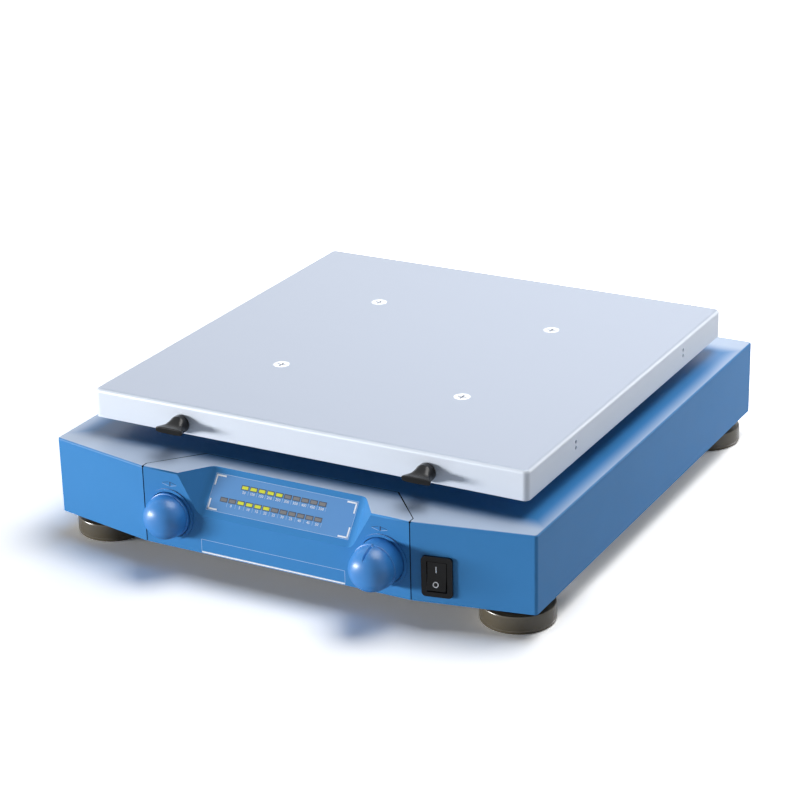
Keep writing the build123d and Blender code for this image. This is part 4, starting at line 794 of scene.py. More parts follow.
def distance_to_line(spot: Spot, first: Spot, second: Spot) -> float:
    """Give a point's distance to a stretch of line on a plane.

    Args:
        spot: The point.
        first: The stretch's start.
        second: Its end.

    Returns:
        The distance.
    """
    start, run = Vector(first), Vector(second) - Vector(first)
    share = max(0.0, min(1.0, (Vector(spot) - start).dot(run) / run.length_squared))
    return (Vector(spot) - start - run * share).length


def add_words(
    form: bmesh.types.BMesh, words: str, plane: Matrix, centre: Spot, height: float, lift: float
) -> None:
    """Add flat figures that lie on a plane.

    Args:
        form: The form that gets them.
        words: The figures.
        plane: The plane's axes and origin; its third axis points outwards.
        centre: The middle of the figures on the plane.
        height: Their height.
        lift: How far they are out of the plane.
    """
    curve = bpy.data.curves.new("figures", "FONT")
    curve.body = words
    curve.size = height / CAP_HEIGHT
    curve.align_x, curve.align_y = "CENTER", "CENTER"
    curve.resolution_u = 2
    carrier = bpy.data.objects.new("figures", curve)
    bpy.context.scene.collection.objects.link(carrier)
    bpy.context.view_layer.update()
    mesh = bpy.data.meshes.new_from_object(carrier)
    bpy.data.objects.remove(carrier)
    mesh.transform(plane @ Matrix.Translation((*centre, lift)))
    form.from_mesh(mesh)
    bpy.data.meshes.remove(mesh)


def plane_at(origin: Vector, along: Vector, outward: Vector) -> Matrix:
    """Give a plane as a matrix.

    Args:
        origin: Its origin.
        along: Its first axis.
        outward: Its normal.

    Returns:
        The matrix whose columns are the plane's axes and origin.
    """
    first, third = along.normalized(), outward.normalized()
    second = third.cross(first)
    turned = Matrix((first, second, third)).transposed().to_4x4()
    return Matrix.Translation(origin) @ turned


# ---------------------------------------------------------------- sub-assemblies


@dataclass
class Housing:
    """The blue cover, with a dark strip in the seam round the control panel: painted shade that fills the
    real gap between panel and cover.

    Attributes:
        nodes: The model's nodes by name.
        edge_radius: Rounding of the edges that the model leaves sharp.
        seam_corners: Corners of the panel's right half seen from above, as (x, distance behind the front).
        seam_sink: How far the dark strip lies below the surface.
        seam_spread: How far the dark strip reaches over the rounded edges on each side, as painted shade on
            them.
        seam_depth: Height of the dark strip on the top.
        upright_from: Edges that rise by more than this stand upright.
    """

    nodes: dict[str, bpy.types.Object]
    edge_radius: float = 0.4 * MM
    seam_corners: tuple[Spot, ...] = (
        (103.0 * MM, 0.0),
        (103.0 * MM, 5.2 * MM),
        (75.0 * MM, 37.5 * MM),
        (0.0, 37.5 * MM),
    )
    seam_sink: float = 0.12 * MM
    seam_spread: float = 0.25 * MM
    seam_depth: float = 2.5 * MM
    upright_from: float = 5.0 * MM

    def __post_init__(self) -> None:
        """Take the panel's front, height and gap from the model, and pair up the seam's corners."""
        low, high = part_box("front_panel")
        self.front = low.y + COLLAR
        self.top, self.bottom = high.z, low.z
        self.gap = self.seam_corners[0][0] - high.x
        self.stretches = list(zip(self.seam_corners, self.seam_corners[1:]))

    def build(self) -> None:
        """Make the cover with rounded seams, and the dark strip of painted shade in the seam."""
        form = rounded_copy(self.nodes["housing_cover"], self.edge_radius, self.is_seam_edge)
        finished_piece("cover_shell", form, FINISH.housing, "base", ["housing_cover"])
        # A dark strip in the seam gap, as painted shade.
        shade_strip = bmesh.new()
        for side in (-1, 1):
            for first, second in self.stretches:
                self.add_seam_shade(shade_strip, side, first, second)
        finished_piece("panel_seam", shade_strip, FINISH.seam, "base")

    def is_seam_edge(self, edge: bmesh.types.BMEdge) -> bool:
        """Say whether a sharp edge of the cover runs along the panel's outline and shows from outside."""
        middle = (edge.verts[0].co + edge.verts[1].co) / 2
        depth = middle.y - self.front
        on_outline = any(
            distance_to_line((abs(middle.x), depth), first, second) < NEAR
            for first, second in self.stretches
        )
        rise = abs(edge.verts[0].co.z - edge.verts[1].co.z)
        on_front = depth < NEAR and rise > self.upright_from
        return on_outline and (abs(middle.z - self.top) < NEAR or on_front)

    def add_seam_shade(self, form: bmesh.types.BMesh, side: int, first: Spot, second: Spot) -> None:
        """Add a straight stretch of the dark strip of painted shade in the seam.

        Args:
            form: The form that gets it.
            side: 1 on the right and -1 on the left.
            first: Its start on the panel's outline.
            second: Its end.
        """
        upright = first[0] == second[0]
        start = Vector((side * first[0], self.front + first[1] + (self.seam_sink if upright else 0.0), 0))
        end = Vector((side * second[0], self.front + second[1], 0))
        inward = UP.cross(end - start).normalized() * side
        height = self.top - self.seam_sink
        low = self.bottom + self.seam_sink if upright else height - self.seam_depth
        middle = (start + end) / 2 + inward * (self.gap / 2) + UP * ((height + low) / 2)
        half = self.gap / 2 + self.seam_spread
        plane = plane_at(middle, end - start, inward)
        add_slab(form, plane, (0, 0), ((end - start).length, height - low), half, -half)


@dataclass
class Foot:
    """One rubber foot pad: a puck with a rounded shoulder, a moulded rim line and a screw recess below.

    Attributes:
        radius: Radius of the pad.
        height: Height of the pad.
        shank: Radius of the screw hole.
        bore: Radius of the screw recess in the underside.
        recess: Depth of that recess.
        lead_in: Chamfer of its mouth.
        shoulder: Radius of the upper edge.
        crown: Width of the upper face's slope.
        draft: How far the upper face and the side fall away.
        chamfer: Chamfer of the lower edge.
        rim: Height of the rim line over the bench.
        rim_width: Width of the rim line.
        rim_depth: Depth of the rim line.
        rim_slant: Height of each of its slanted flanks.
    """

    radius: float
    height: float
    shank: float = 3.1 * MM
    bore: float = 7.0 * MM
    recess: float = 6.0 * MM
    lead_in: float = 0.4 * MM
    shoulder: float = 1.4 * MM
    crown: float = 6.0 * MM
    draft: float = 0.1 * MM
    chamfer: float = 0.9 * MM
    rim: float = 2.2 * MM
    rim_width: float = 1.0 * MM
    rim_depth: float = 0.25 * MM
    rim_slant: float = 0.3 * MM

    def profile(self) -> list[Spot]:
        """Give the pad's outline as (radius, height)."""
        r, h, s = self.radius, self.height, self.shoulder
        rim_top = self.rim + self.rim_width
        return [
            (self.shank, h),
            (r - self.crown, h),
            (r - s, h - self.draft),
            (r - 0.3 * s, h - 0.3 * s),
            (r, h - s),
            (r, rim_top),
            (r - self.rim_depth, rim_top - self.rim_slant),
            (r - self.rim_depth, self.rim + self.rim_slant),
            (r, self.rim),
            (r - self.draft, self.chamfer),
            (r - self.chamfer, 0.0),
            (self.bore + self.lead_in, 0.0),
            (self.bore, self.lead_in),
            (self.bore, self.recess),
            (self.shank, self.recess),
            (self.shank, h),
        ]


@dataclass
class Feet:
    """The four feet.

    Attributes:
        slimness: A pad's radius over its height.
        steps: Steps round a pad.
    """

    slimness: float = 51.0 / 26.0
    steps: int = 96

    def build(self) -> None:
        """Make the four pads where the model has them."""
        low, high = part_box("foot_pads")
        height = high.z - low.z
        radius = height * self.slimness
        profile = Foot(radius, height).profile()
        places = [
            Vector((x, y, low.z))
            for x in (low.x + radius, high.x - radius)
            for y in (low.y + radius, high.y - radius)
        ]
        for number, place in enumerate(places, 1):
            replaced = ["foot_pads"] if number == 1 else []
            form = spun_form(profile, place, UP, self.steps)
            finished_piece(f"foot_pad_{number}", form, FINISH.rubber, "base", replaced)


@dataclass
class Tray:
    """The flat tray with its screws.

    Attributes:
        nodes: The model's nodes by name.
    """

    nodes: dict[str, bpy.types.Object]

    def build(self) -> None:
        """Make the tray and its screws with smooth edges."""
        form = merged_copy(self.nodes["platform_tray"])
        finished_piece("tray_plate", form, FINISH.tray, "platform", ["platform_tray"], smooth_below=40.0)
        rounded_piece(
            self.nodes["tray_screws"], "tray_screw_heads", FINISH.screw, 0.15 * MM, body="platform", steps=1
        )


@dataclass
class ClampScrew:
    """A black wing screw on the tray's front skirt.

    Attributes:
        side: "left" or "right".
        hub_radius: Radius of the round hub.
        hub_length: Length of the hub.
        wing_width: Width of the wing at its front end.
        wing_thickness: Thickness of the wing.
        steps: Points round each cross-section.
    """

    side: str
    hub_radius: float = 6.5 * MM
    hub_length: float = 4.6 * MM
    wing_width: float = 21.0 * MM
    wing_thickness: float = 4.5 * MM
    steps: int = 48

    def section(
        self, form: bmesh.types.BMesh, centre: Vector, half: Spot, power: float
    ) -> list[bmesh.types.BMEdge]:
        """Add one cross-section of the wing.

        Args:
            form: The form that gets it.
            centre: Its centre.
            half: Half its width and half its thickness.
            power: 2 gives an oval, more a rounded rectangle.

        Returns:
            The section's edges.
        """
        made = bmesh.ops.create_circle(form, segments=self.steps, radius=1.0)
        for point in made["verts"]:
            x, z = point.co.x, point.co.y
            x = math.copysign(abs(x) ** (2 / power), x) * half[0]
            z = math.copysign(abs(z) ** (2 / power), z) * half[1]
            point.co = centre + Vector((x, 0, z))
        return list({edge for point in made["verts"] for edge in point.link_edges})

    def build(self) -> None:
        """Make the wing as a loft from its round hub to its flat end."""
        node = f"clamp_wing_{self.side}"
        low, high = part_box(node)
        foot = Vector(((low.x + high.x) / 2, high.y, (low.z + high.z) / 2))
        length = high.y - low.y
        r, w, t = self.hub_radius, self.wing_width / 2, self.wing_thickness / 2
        stations = [  # how far out, half width and half thickness, power
            (0.0, (r - 0.5 * MM, r - 0.5 * MM), 2.0),
            (0.5 * MM, (r, r), 2.0),
            (self.hub_length, (r, r), 2.0),
            (self.hub_length + 0.6 * MM, (r * 0.98, r * 0.93), 2.0),
            (0.46 * length, (r * 1.03, r * 0.72), 2.2),
            (0.60 * length, (r * 1.16, t * 1.32), 2.6),
            (0.74 * length, (w * 0.88, t * 1.04), 3.4),
            (0.88 * length, (w * 0.985, t), 4.2),
            (length - 0.7 * MM, (w, t), 4.6),
            (length - 0.15 * MM, (w - 0.4 * MM, t - 0.4 * MM), 4.4),
            (length, (w - 0.9 * MM, t - 0.9 * MM), 4.0),
        ]
        form = bmesh.new()
        rings = [self.section(form, foot + FRONTWARDS * out, half, power) for out, half, power in stations]
        closed_loft(form, rings)
        finished_piece(f"{node}_shell", form, FINISH.black_plastic, f"clamp_{self.side}", [node])


@dataclass
class Knob:
    """A push-latched knob with a domed cap and a pointer groove.

    Attributes:
        role: "speed" or "timer".
        pointer: Where the pointer stands, in degrees anticlockwise from +X as seen from the front.
        radius: Radius of the skirt.
        dome: Height of the dome.
        wall: Thickness of the skirt and of the floor under the dome.
        chamfer: Chamfer of the skirt's rear edge.
        rim_step: How far the dome's foot lies in from the skirt.
        rim_points: The skirt's rounded front edge, as (in from the skirt, back from the rim).
        groove_half: Half the groove's width at the surface.
        groove_depth: Depth of the groove.
        groove_share: Share of the dome's outline that the groove runs up.
        groove_lead: How far the cut starts behind the rim.
        groove_fade: Steps over which the groove runs out.
        groove_steps: Steps along the groove.
        steps: Steps round the knob.
    """

    role: str
    pointer: float
    radius: float = 16.0 * MM
    dome: float = 16.0 * MM
    wall: float = 2.5 * MM
    chamfer: float = 0.3 * MM
    rim_step: float = 0.6 * MM
    rim_points: tuple[Spot, ...] = ((0.0, 0.5 * MM), (0.12 * MM, 0.15 * MM), (0.45 * MM, 0.0))
    groove_half: float = 0.75 * MM
    groove_depth: float = 1.3 * MM
    groove_share: float = 0.62
    groove_lead: float = 0.8 * MM
    groove_fade: int = 3
    groove_steps: int = 12
    steps: int = 160

    def dome_point(self, share: float) -> Spot:
        """Give a point of the dome's outline.

        Args:
            share: 0 at the rim and 1 at the crown.

        Returns:
            Its radius and its height over the rim.
        """
        r, h = self.radius - self.rim_step, self.dome
        controls = ((r, 0.0), (r, 0.72 * h), (0.62 * r, h), (0.0, h))
        s, t = share, 1 - share
        weights = (t**3, 3 * s * t**2, 3 * s**2 * t, s**3)
        return tuple(sum(weight * point[i] for weight, point in zip(weights, controls)) for i in (0, 1))

    def build(self) -> None:
        """Make the cap and cut its pointer groove."""
        node = f"{self.role}_knob"
        low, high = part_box(node)
        rim = Vector(((low.x + high.x) / 2, low.y + self.dome, (low.z + high.z) / 2))
        skirt, r, inner = high.y - rim.y, self.radius, self.radius - self.wall
        profile = [(inner, -skirt), (r - self.chamfer, -skirt), (r, self.chamfer - skirt)]
        profile += [(r - inwards, -back) for inwards, back in self.rim_points]
        profile += [self.dome_point(i / 40) for i in range(41)]
        profile += [(0.0, -self.wall), (inner, -self.wall), (inner, -skirt)]
        form = spun_form(profile, rim, FRONTWARDS, self.steps)
        piece = finished_piece(f"{node}_cap", form, FINISH.knob, f"{self.role}_control", [node])
        cut_away(piece, self.groove(rim))

    def groove(self, rim: Vector) -> bmesh.types.BMesh:
        """Make the V-shaped pointer groove from the rim to half-way up the dome, to be cut away.

        Args:
            rim: The centre of the dome's rim.

        Returns:
            The closed form.
        """
        turn = math.radians(self.pointer)
        out = Vector((math.cos(turn), 0, math.sin(turn)))
        side = Vector((-math.sin(turn), 0, math.cos(turn)))
        cutter = bmesh.new()
        rings = []
        for i in range(self.groove_steps + 1):
            share = self.groove_share * i / self.groove_steps
            radius, height = self.dome_point(share)
            near = self.dome_point(share + 0.01)
            slope = Vector((near[0] - radius, near[1] - height)).normalized()
            normal = out * slope.y - FRONTWARDS * slope.x
            centre = rim + out * radius + FRONTWARDS * (height - (self.groove_lead if i == 0 else 0.0))
            depth = self.groove_depth * min(1.0, (self.groove_steps - i) / self.groove_fade + 0.05)
            flank = side * self.groove_half * 2.1
            corners = (centre + normal * MM + flank, centre - normal * depth, centre + normal * MM - flank)
            points = [cutter.verts.new(corner) for corner in corners]
            rings.append([cutter.edges.new(pair) for pair in zip(points, points[1:] + points[:1])])
        closed_loft(cutter, rings)
        return cutter


def cut_away(piece: bpy.types.Object, cutter: bmesh.types.BMesh) -> None:
    """Cut a form out of a piece.

    Args:
        piece: The piece, whose mesh is changed.
        cutter: The form to take away; it is freed.
    """
    mesh = bpy.data.meshes.new("cutter")
    cutter.to_mesh(mesh)
    cutter.free()
    tool = bpy.data.objects.new("cutter", mesh)
    bpy.context.scene.collection.objects.link(tool)
    change = piece.modifiers.new("groove", "BOOLEAN")
    change.operation, change.solver, change.object = "DIFFERENCE", "EXACT", tool
    bake_modifiers(piece)
    bpy.data.objects.remove(tool)
    bpy.data.meshes.remove(mesh)
    smooth(piece)


@dataclass(frozen=True)
class LampRow:
    """A row of lamps with the scale under it.

    Attributes:
        height: How far up the slope the row lies.
        lead: Lamps that stand left of the first column.
        figures: The figure under each lamp, empty where it has none.
    """

    height: float
    lead: int
    figures: tuple[str, ...]


SPEED_ROW = LampRow(24.6 * MM, 0, tuple(str(50 * i) for i in range(1, 11)))
TIMER_ROW = LampRow(13.9 * MM, 2, ("", *(str(5 * i) for i in range(11))))


@dataclass
class ControlPanel:
    """The control panel: its shell, and the printed window with its lamps in the sloping recess.

    Attributes:
        nodes: The model's nodes by name.
        scoop_height: Height of the slope's foot over the panel's lower edge.
        scoop_depth: How far the slope's upper edge lies behind the front.
        edge_radius: Rounding of the shell's outer edges.
        slope_edge: Edges on the slope are rounded where they are longer than this.
        mark_half: Half the distance between the corner marks' outer ends.
        mark_low: How far up the slope the lower corner marks start.
        mark_high: How far up the slope the upper corner marks end.
        mark_length: Length of a corner mark's arms.
        mark_width: Width of a corner mark's arms.
        outline_width: Width of the window's outline.
        rows: The rows of lamps.
        lamp_pitch: Distance between two lamps of a row.
        first_lamp: Where the first column of lamps lies on the slope.
        lens: Length and height of a lamp's lens.
        lens_sink: How far a lens reaches into the film.
        lens_lift: How far a lens stands out of the film.
        lens_radius: Rounding of a lens.
        surround: Length and height of the printed surround of a lamp.
        scale_drop: How far the figures lie below the lamps.
        figure_height: Height of the figures.
        tick_rise: How far the ticks' middle lies over the figures' middle.
        tick: Width and height of a tick.
    """

    nodes: dict[str, bpy.types.Object]
    scoop_height: float = 28.0 * MM
    scoop_depth: float = 21.5 * MM
    edge_radius: float = 0.6 * MM
    slope_edge: float = 30.0 * MM
    mark_half: float = 54.3 * MM
    mark_low: float = 5.7 * MM
    mark_high: float = 30.3 * MM
    mark_length: float = 7.5 * MM
    mark_width: float = 1.1 * MM
    outline_width: float = 0.25 * MM
    rows: tuple[LampRow, ...] = (SPEED_ROW, TIMER_ROW)
    lamp_pitch: float = 6.65 * MM
    first_lamp: float = -30.3 * MM
    lens: Spot = (4.9 * MM, 2.3 * MM)
    lens_sink: float = 0.5 * MM
    lens_lift: float = 0.14 * MM
    lens_radius: float = 0.35 * MM
    surround: Spot = (5.9 * MM, 3.3 * MM)
    scale_drop: float = 3.4 * MM
    figure_height: float = 1.9 * MM
    tick_rise: float = 0.3 * MM
    tick: Spot = (0.22 * MM, 3.0 * MM)

    def __post_init__(self) -> None:
        """Find the panel's planes from the model."""
        self.low, self.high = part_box("front_panel")
        self.front = self.low.y + COLLAR
        foot = self.low.z + self.scoop_height
        rise = self.high.z - foot
        self.slope = plane_at(
            Vector((0, self.front, foot)), RIGHT, Vector((0, -rise, self.scoop_depth))
        )
        self.to_slope = self.slope.inverted()

    def build(self) -> None:
        """Make the shell, the window, the lamps and the marks."""
        shell = rounded_copy(self.nodes["front_panel"], self.edge_radius, self.is_outer_edge)
        finished_piece("panel_shell", shell, FINISH.housing, "base", ["front_panel"])
        self.build_window()
        self.build_lamps()
        self.build_scale()
        FrontMarks(plane_at(Vector((0, self.front, 0)), RIGHT, FRONTWARDS)).build()

    def is_outer_edge(self, edge: bmesh.types.BMEdge) -> bool:
        """Say whether a sharp edge is one that shows from outside."""
        middle = (edge.verts[0].co + edge.verts[1].co) / 2
        on_slope = abs((self.to_slope @ middle).z) < 2 * NEAR
        on_front = abs(middle.y - self.front) < NEAR or middle.y < self.low.y + NEAR
        on_top = abs(middle.z - self.high.z) < NEAR
        return (on_slope and edge.calc_length() > self.slope_edge) or on_front or on_top

    def build_window(self) -> None:
        """Make the printed film that lies in the slope."""
        window = self.nodes["display_window"]
        finished_piece("window_film", merged_copy(window), FINISH.film, "base", [window.name])
        marks = bmesh.new()
        for x_side in (-1, 1):
            for y, y_side in ((self.mark_low, 1), (self.mark_high, -1)):
                x = x_side * self.mark_half
                long, short = self.mark_length, self.mark_width
                for size in ((long, short), (short, long)):
                    centre = (x - x_side * size[0] / 2, y + y_side * size[1] / 2)
                    add_slab(marks, self.slope, centre, size, OVERPRINT)
        finished_piece("window_corner_marks", marks, FINISH.ink_white, "base")
        outline = bmesh.new()
        points = [self.to_slope @ point.co for point in window.data.vertices]
        right = max(point.x for point in points)
        rises = [point.y for point in points]
        add_frame(
            outline, self.slope, (-right, min(rises)), (right, max(rises)), self.outline_width, UNDERPRINT
        )
        finished_piece("window_outline", outline, FINISH.pale_ink_and_highlight, "base")

    def lamp_place(self, column: int, row: LampRow) -> Spot:
        """Give the place of a lamp on the slope by its column, from 0 at the first."""
        return self.first_lamp + column * self.lamp_pitch, row.height

    def row_places(self, row: LampRow) -> list[Spot]:
        """Give the places of a row's lamps on the slope, from left to right."""
        return [self.lamp_place(i - row.lead, row) for i in range(len(row.figures))]

    def model_places(self, node: bpy.types.Object) -> list[Spot]:
        """Give the places of the lamps that a model node holds, from left to right."""
        places = set()
        for point in (self.to_slope @ vertex.co for vertex in node.data.vertices):
            row = min(self.rows, key=lambda one: abs(point.y - one.height))
            places.add(self.lamp_place(round((point.x - self.first_lamp) / self.lamp_pitch), row))
        return sorted(places)

    def build_lamps(self) -> None:
        """Make the lamps as small rounded bars just proud of the film, each with its printed surround."""
        for name, finish in (("lit_lamps", FINISH.lamp_lit), ("unlit_lamps", FINISH.lamp_unlit)):
            form = bmesh.new()
            for place in self.model_places(self.nodes[name]):
                add_slab(form, self.slope, place, self.lens, self.lens_lift, -self.lens_sink)
            bevel_edges(form, form.edges[:], self.lens_radius)
            finished_piece(f"{name}_lenses", form, finish, "base", [name])
        surrounds = bmesh.new()
        for row in self.rows:
            for place in self.row_places(row):
                add_slab(surrounds, self.slope, place, self.surround, UNDERPRINT)
        finished_piece("lamp_surrounds", surrounds, FINISH.ink_grey, "base")

    def build_scale(self) -> None:
        """Print the plain figures and ticks under the rows of lamps."""
        figures, ticks = bmesh.new(), bmesh.new()
        for row in self.rows:
            for word, (x, y) in zip(row.figures, self.row_places(row)):
                y -= self.scale_drop
                if word:
                    add_words(figures, word, self.slope, (x, y), self.figure_height, PRINT)
                add_slab(ticks, self.slope, (x + self.lamp_pitch / 2, y + self.tick_rise), self.tick)
        finished_piece("scale_figures", figures, FINISH.ink_white, "base")
        finished_piece("scale_ticks", ticks, FINISH.pale_ink_and_highlight, "base")


@dataclass
class FrontMarks:
    """The name band's empty outline and the small turn marks over the knobs, whose raised chevrons are drawn
    flat with a painted highlight on one arm and painted shade on the other.

    Attributes:
        plane: The panel's front.
        band_low: The band's lower left corner.
        band_high: Its upper right corner.
        band_width: Width of its outline.
        line_width: Width of the line under it.
        mark_centres: Middles of the turn marks, from left to right.
        stroke: Length of a turn mark's strokes.
        pale_width: Width of the pale strokes, which are painted highlights.
        dark_width: Width of the dark strokes, which are painted shade.
        spread: How far the strokes' middles lie from the mark's middle.
        lean: How far the strokes lean, in degrees.
        pale_height: Height of the pale strokes over the bench.
        dark_height: Height of the dark strokes.
        dash: Width and height of the upright dash.
        dash_place: The dash's place, as (right of the middle, height).
    """

    plane: Matrix
    band_low: Spot = (-58.0 * MM, 19.6 * MM)
    band_high: Spot = (53.5 * MM, 29.0 * MM)
    band_width: float = 0.3 * MM
    line_width: float = 1.2 * MM
    mark_centres: Spot = (-81.5 * MM, 80.5 * MM)
    stroke: float = 5.2 * MM
    pale_width: float = 0.3 * MM
    dark_width: float = 0.25 * MM
    spread: float = 3.2 * MM
    lean: float = 14.0
    pale_height: float = 64.3 * MM
    dark_height: float = 66.0 * MM
    dash: Spot = (0.7 * MM, 3.2 * MM)
    dash_place: Spot = (0.6 * MM, 65.2 * MM)

    def build(self) -> None:
        """Make the band and the marks."""
        band, line, pale, dark = (bmesh.new() for _ in range(4))
        corners_of_band = (self.band_low, self.band_high)
        add_frame(band, self.plane, *corners_of_band, self.band_width, PRINT, "top left right")
        add_frame(line, self.plane, *corners_of_band, self.line_width, PRINT, "bottom")
        for centre in self.mark_centres:
            # Each chevron is drawn flat: a pale arm as painted highlight, a dark arm as painted shade.
            for side in (-1, 1):
                x, turn = centre + side * self.spread, side * self.lean
                add_slab(pale, self.plane, (x, self.pale_height), (self.stroke, self.pale_width), turn=turn)
                add_slab(dark, self.plane, (x, self.dark_height), (self.stroke, self.dark_width), turn=-turn)
            add_slab(dark, self.plane, (centre + self.dash_place[0], self.dash_place[1]), self.dash)
        for name, form, finish in (
            ("band_outline", band, FINISH.pale_ink_and_highlight),
            ("band_line", line, FINISH.ink_white),
            ("turn_marks_painted_highlight", pale, FINISH.pale_ink_and_highlight),
            ("turn_marks_painted_shade_and_dash", dark, FINISH.ink_dark),
        ):
            finished_piece(name, form, finish, "base")


@dataclass
class MainsSwitch:
    """The rocker switch on the right front facet.

    Attributes:
        nodes: The model's nodes by name.
        facet: Angle of the facet to the front, in degrees.
        mark_rise: Distance of the marks' middles from the pivot.
        bar: Width and height of the I.
        ring: Outer and inner radius of the O.
    """

    nodes: dict[str, bpy.types.Object]
    facet: float = 11.04
    mark_rise: float = 5.0 * MM
    bar: Spot = (0.7 * MM, 4.4 * MM)
    ring: Spot = (1.95 * MM, 1.35 * MM)

    def build(self) -> None:
        """Make the frame, the rocker, I on its upper face and O on its lower face."""
        rounded_piece(self.nodes["switch_frame"], "switch_bezel", FINISH.black_plastic, 0.4 * MM, 2 * MM)
        rounded_piece(
            self.nodes["switch_rocker"], "switch_rocker_cap", FINISH.black_gloss, 0.35 * MM, 4 * MM,
            "mains_rocker",
        )
        marks = bmesh.new()
        add_slab(marks, self.face_plane(1), (0, 0), self.bar)
        add_ring(marks, self.face_plane(-1), *self.ring, PRINT)
        finished_piece("switch_marks", marks, FINISH.ink_white, "mains_rocker")

    def face_plane(self, side: int) -> Matrix:
        """Find the plane of one of the rocker's two faces.

        Args:
            side: 1 for the upper face and -1 for the lower.

        Returns:
            The face's plane, with its origin where the mark goes.
        """
        turn = math.radians(self.facet)
        along = Vector((math.cos(turn), math.sin(turn), 0))
        outward = Vector((math.sin(turn), -math.cos(turn), 0))
        low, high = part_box("switch_rocker")
        centre = (low + high) / 2
        faces = [
            face
            for face in self.nodes["switch_rocker"].data.polygons
            if face.normal.dot(outward) >= 0.9 and (face.center.z - centre.z) * side >= 2 * MM
        ]
        best = max(faces, key=lambda face: face.area)
        normal = best.normal.copy()
        spot = centre + UP * side * self.mark_rise
        spot += outward * (best.center - spot).dot(normal) / outward.dot(normal)
        return plane_at(spot, along, normal)


# ---------------------------------------------------------------- camera and studio


@dataclass(frozen=True)
class Viewpoint:
    """Where the camera stands and how it is turned.

    Attributes:
        place: Its place.
        azimuth: Its turn about Z, in degrees.
        elevation: Its height over the horizon, in degrees.
        roll: Its turn about its own view, in degrees.
        lens: Its focal length in millimetres on a 36 mm sensor.
    """

    place: tuple[float, float, float] = (0.757189, -1.378366, 0.710786)
    azimuth: float = 28.909
    elevation: float = 22.083
    roll: float = -1.3635
    lens: float = 105.852

    def build(self) -> None:
        """Make the camera and use it."""
        data = bpy.data.cameras.new("camera")
        data.lens, data.sensor_width = self.lens, 36.0
        data.clip_start, data.clip_end = 0.05, 60.0
        camera = bpy.data.objects.new("camera", data)
        camera.matrix_world = (
            Matrix.Translation(self.place)
            @ Matrix.Rotation(math.radians(self.azimuth), 4, "Z")
            @ Matrix.Rotation(math.radians(90 - self.elevation), 4, "X")
            @ Matrix.Rotation(math.radians(self.roll), 4, "Z")
        )
        bpy.context.scene.collection.objects.link(camera)
        bpy.context.scene.camera = camera


@dataclass(frozen=True)
class Softbox:
    """A soft studio lamp.

    Attributes:
        name: Its name.
        place: Where it stands.
        aim: What it points at.
        size: Its width and height.
        power: Its power in watts.
        colour: Its colour.
    """

    name: str
    place: tuple[float, float, float]
    aim: tuple[float, float, float]
    size: tuple[float, float]
    power: float
    colour: Colour = (1.0, 1.0, 1.0)

    def build(self) -> None:
        """Make the lamp."""
        data = bpy.data.lights.new(self.name, "AREA")
        data.shape, data.size, data.size_y = "RECTANGLE", self.size[0], self.size[1]
        data.energy, data.color = self.power, self.colour
        lamp = bpy.data.objects.new(self.name, data)
        direction = Vector(self.aim) - Vector(self.place)
        turned = direction.to_track_quat("-Z", "Y").to_matrix().to_4x4()
        lamp.matrix_world = Matrix.Translation(self.place) @ turned
        bpy.context.scene.collection.objects.link(lamp)


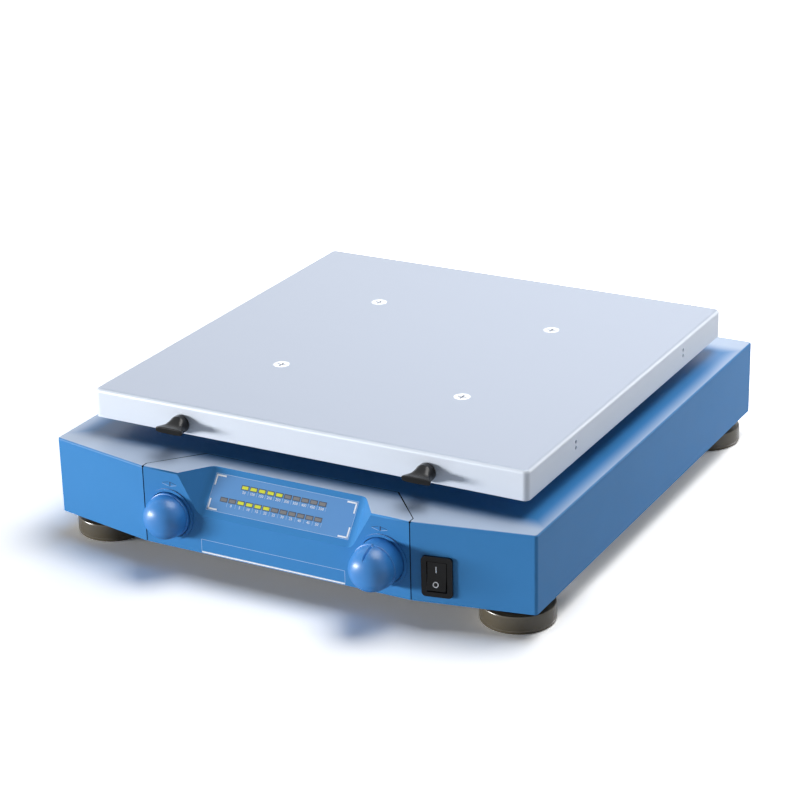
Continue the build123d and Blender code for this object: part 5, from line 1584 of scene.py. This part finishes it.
@dataclass(frozen=True)
class Studio:
    """The plain pale floor, the surrounding light and the lamps.

    Attributes:
        lamps: The lamps.
        surround: Strength of the surrounding light on the object.
        tint: Colour of the surroundings.
        floor_colour: Colour of the floor as the object sees it.
        floor_gain: Brightness of the floor as the camera sees it.
        floor_size: Length of the floor's sides.
        white_from: Distance from the middle where the floor starts to turn plain white.
        white_at: Distance where it is plain white.
    """

    lamps: tuple[Softbox, ...] = (
        Softbox("overhead", (0.30, 0.26, 1.30), (0.0, 0.0, 0.05), (1.0, 0.8), 12.5),
        Softbox("key_left", (-3.3, -2.6, 0.25), (0.0, 0.0, 0.06), (1.6, 0.42), 192.0),
        Softbox("back_left", (-0.95, 1.7, 0.80), (0.0, 0.0, 0.08), (1.9, 1.2), 8.0),
        Softbox("side_right", (0.60, 0.62, 0.30), (0.18, 0.14, 0.08), (0.3, 0.25), 1.2),
    )
    surround: float = 0.04
    tint: Colour = (0.96, 0.98, 1.0)
    floor_colour: Colour = (0.87, 0.88, 0.89)
    floor_gain: float = 1.7
    floor_size: float = 40.0
    white_from: float = 0.30
    white_at: float = 0.75

    def build(self) -> None:
        """Make the floor, the world and the lamps."""
        for lamp in self.lamps:
            lamp.build()
        self.build_world()
        self.build_floor()

    def build_world(self) -> None:
        """Make the surrounding light, which the camera and mirrored or passed rays see as plain white."""
        world = bpy.data.worlds.new("studio")
        bpy.context.scene.world = world
        world.use_nodes = True
        sheet = NodeSheet(world.node_tree)
        path = sheet.add("ShaderNodeLightPath").outputs
        direct = sheet.math("MAXIMUM", path["Is Camera Ray"], path["Is Transmission Ray"])
        seen = sheet.math("MAXIMUM", direct, path["Is Glossy Ray"])
        strength = sheet.ramp(seen, 0.0, 1.0, To_Min=self.surround, To_Max=1.0)
        sheet.fill(world.node_tree.nodes["Background"], Color=(*self.tint, 1.0), Strength=strength)

    def build_floor(self) -> None:
        """Make the pale floor, which keeps the object's shadow."""
        form = bmesh.new()
        bmesh.ops.create_grid(form, x_segments=1, y_segments=1, size=self.floor_size / 2)
        mesh = bpy.data.meshes.new("floor")
        form.to_mesh(mesh)
        form.free()
        floor = bpy.data.objects.new("floor", mesh)
        bpy.context.scene.collection.objects.link(floor)
        floor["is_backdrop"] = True
        material = bpy.data.materials.new("pale_floor")
        material.use_nodes = True
        sheet = NodeSheet(material.node_tree)
        seen = sheet.add("ShaderNodeLightPath").outputs["Is Camera Ray"]
        place = sheet.add("ShaderNodeTexCoord").outputs["Object"]
        reach = sheet.add("ShaderNodeVectorMath", operation="LENGTH", Vector=place).outputs["Value"]
        far = sheet.ramp(reach, self.white_from, self.white_at, interpolation_type="SMOOTHSTEP")
        bright = (self.floor_gain, self.floor_gain, self.floor_gain, 1.0)
        sheet.fill(
            material.node_tree.nodes["Principled BSDF"],
            Base_Color=sheet.mix(seen, (*self.floor_colour, 1.0), bright),
            Roughness=0.9,
            Specular_IOR_Level=0.0,
            Emission_Color=WHITE,
            Emission_Strength=sheet.math("MULTIPLY", far, seen),
        )
        mesh.materials.append(material)


# ---------------------------------------------------------------- the whole


def dress_model_nodes(frame: dict) -> None:
    """Give every model node the finish of its material slot.

    Args:
        frame: The loaded frame.
    """
    slots = {entry["node"]: entry["material_slot"] for entry in frame["record"]["subparts"]}
    for name, node in frame["nodes"].items():
        finish = SLOT_FINISHES[slots[name]]
        node.data.materials.clear()
        node.data.materials.append(finish.build())


def corners() -> list[list[float]]:
    """Give the shown object's lowest and highest corner as plain numbers."""
    return [list(corner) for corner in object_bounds()]


def main() -> None:
    """Build the camera, the studio and the shaker's pieces in order."""
    logging.basicConfig(level=logging.INFO, format="%(name)s: %(message)s")
    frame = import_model()
    scene = bpy.context.scene
    scene.view_settings.view_transform = "Standard"
    Viewpoint().build()
    Studio().build()
    nodes = frame["nodes"]
    dress_model_nodes(frame)
    Housing(nodes).build()
    Feet().build()
    Tray(nodes).build()
    for side in ("left", "right"):
        ClampScrew(side).build()
    ControlPanel(nodes).build()
    Knob("speed", 225.0).build()
    Knob("timer", 90.0).build()
    MainsSwitch(nodes).build()
    rounded_piece(nodes["inlet_socket"], "inlet_shell", FINISH.black_plastic, 0.3 * MM, 3 * MM)
    rounded_piece(nodes["inlet_pins"], "inlet_contact_pins", FINISH.brass, 0.3 * MM)


if __name__ == "__main__":
    main()
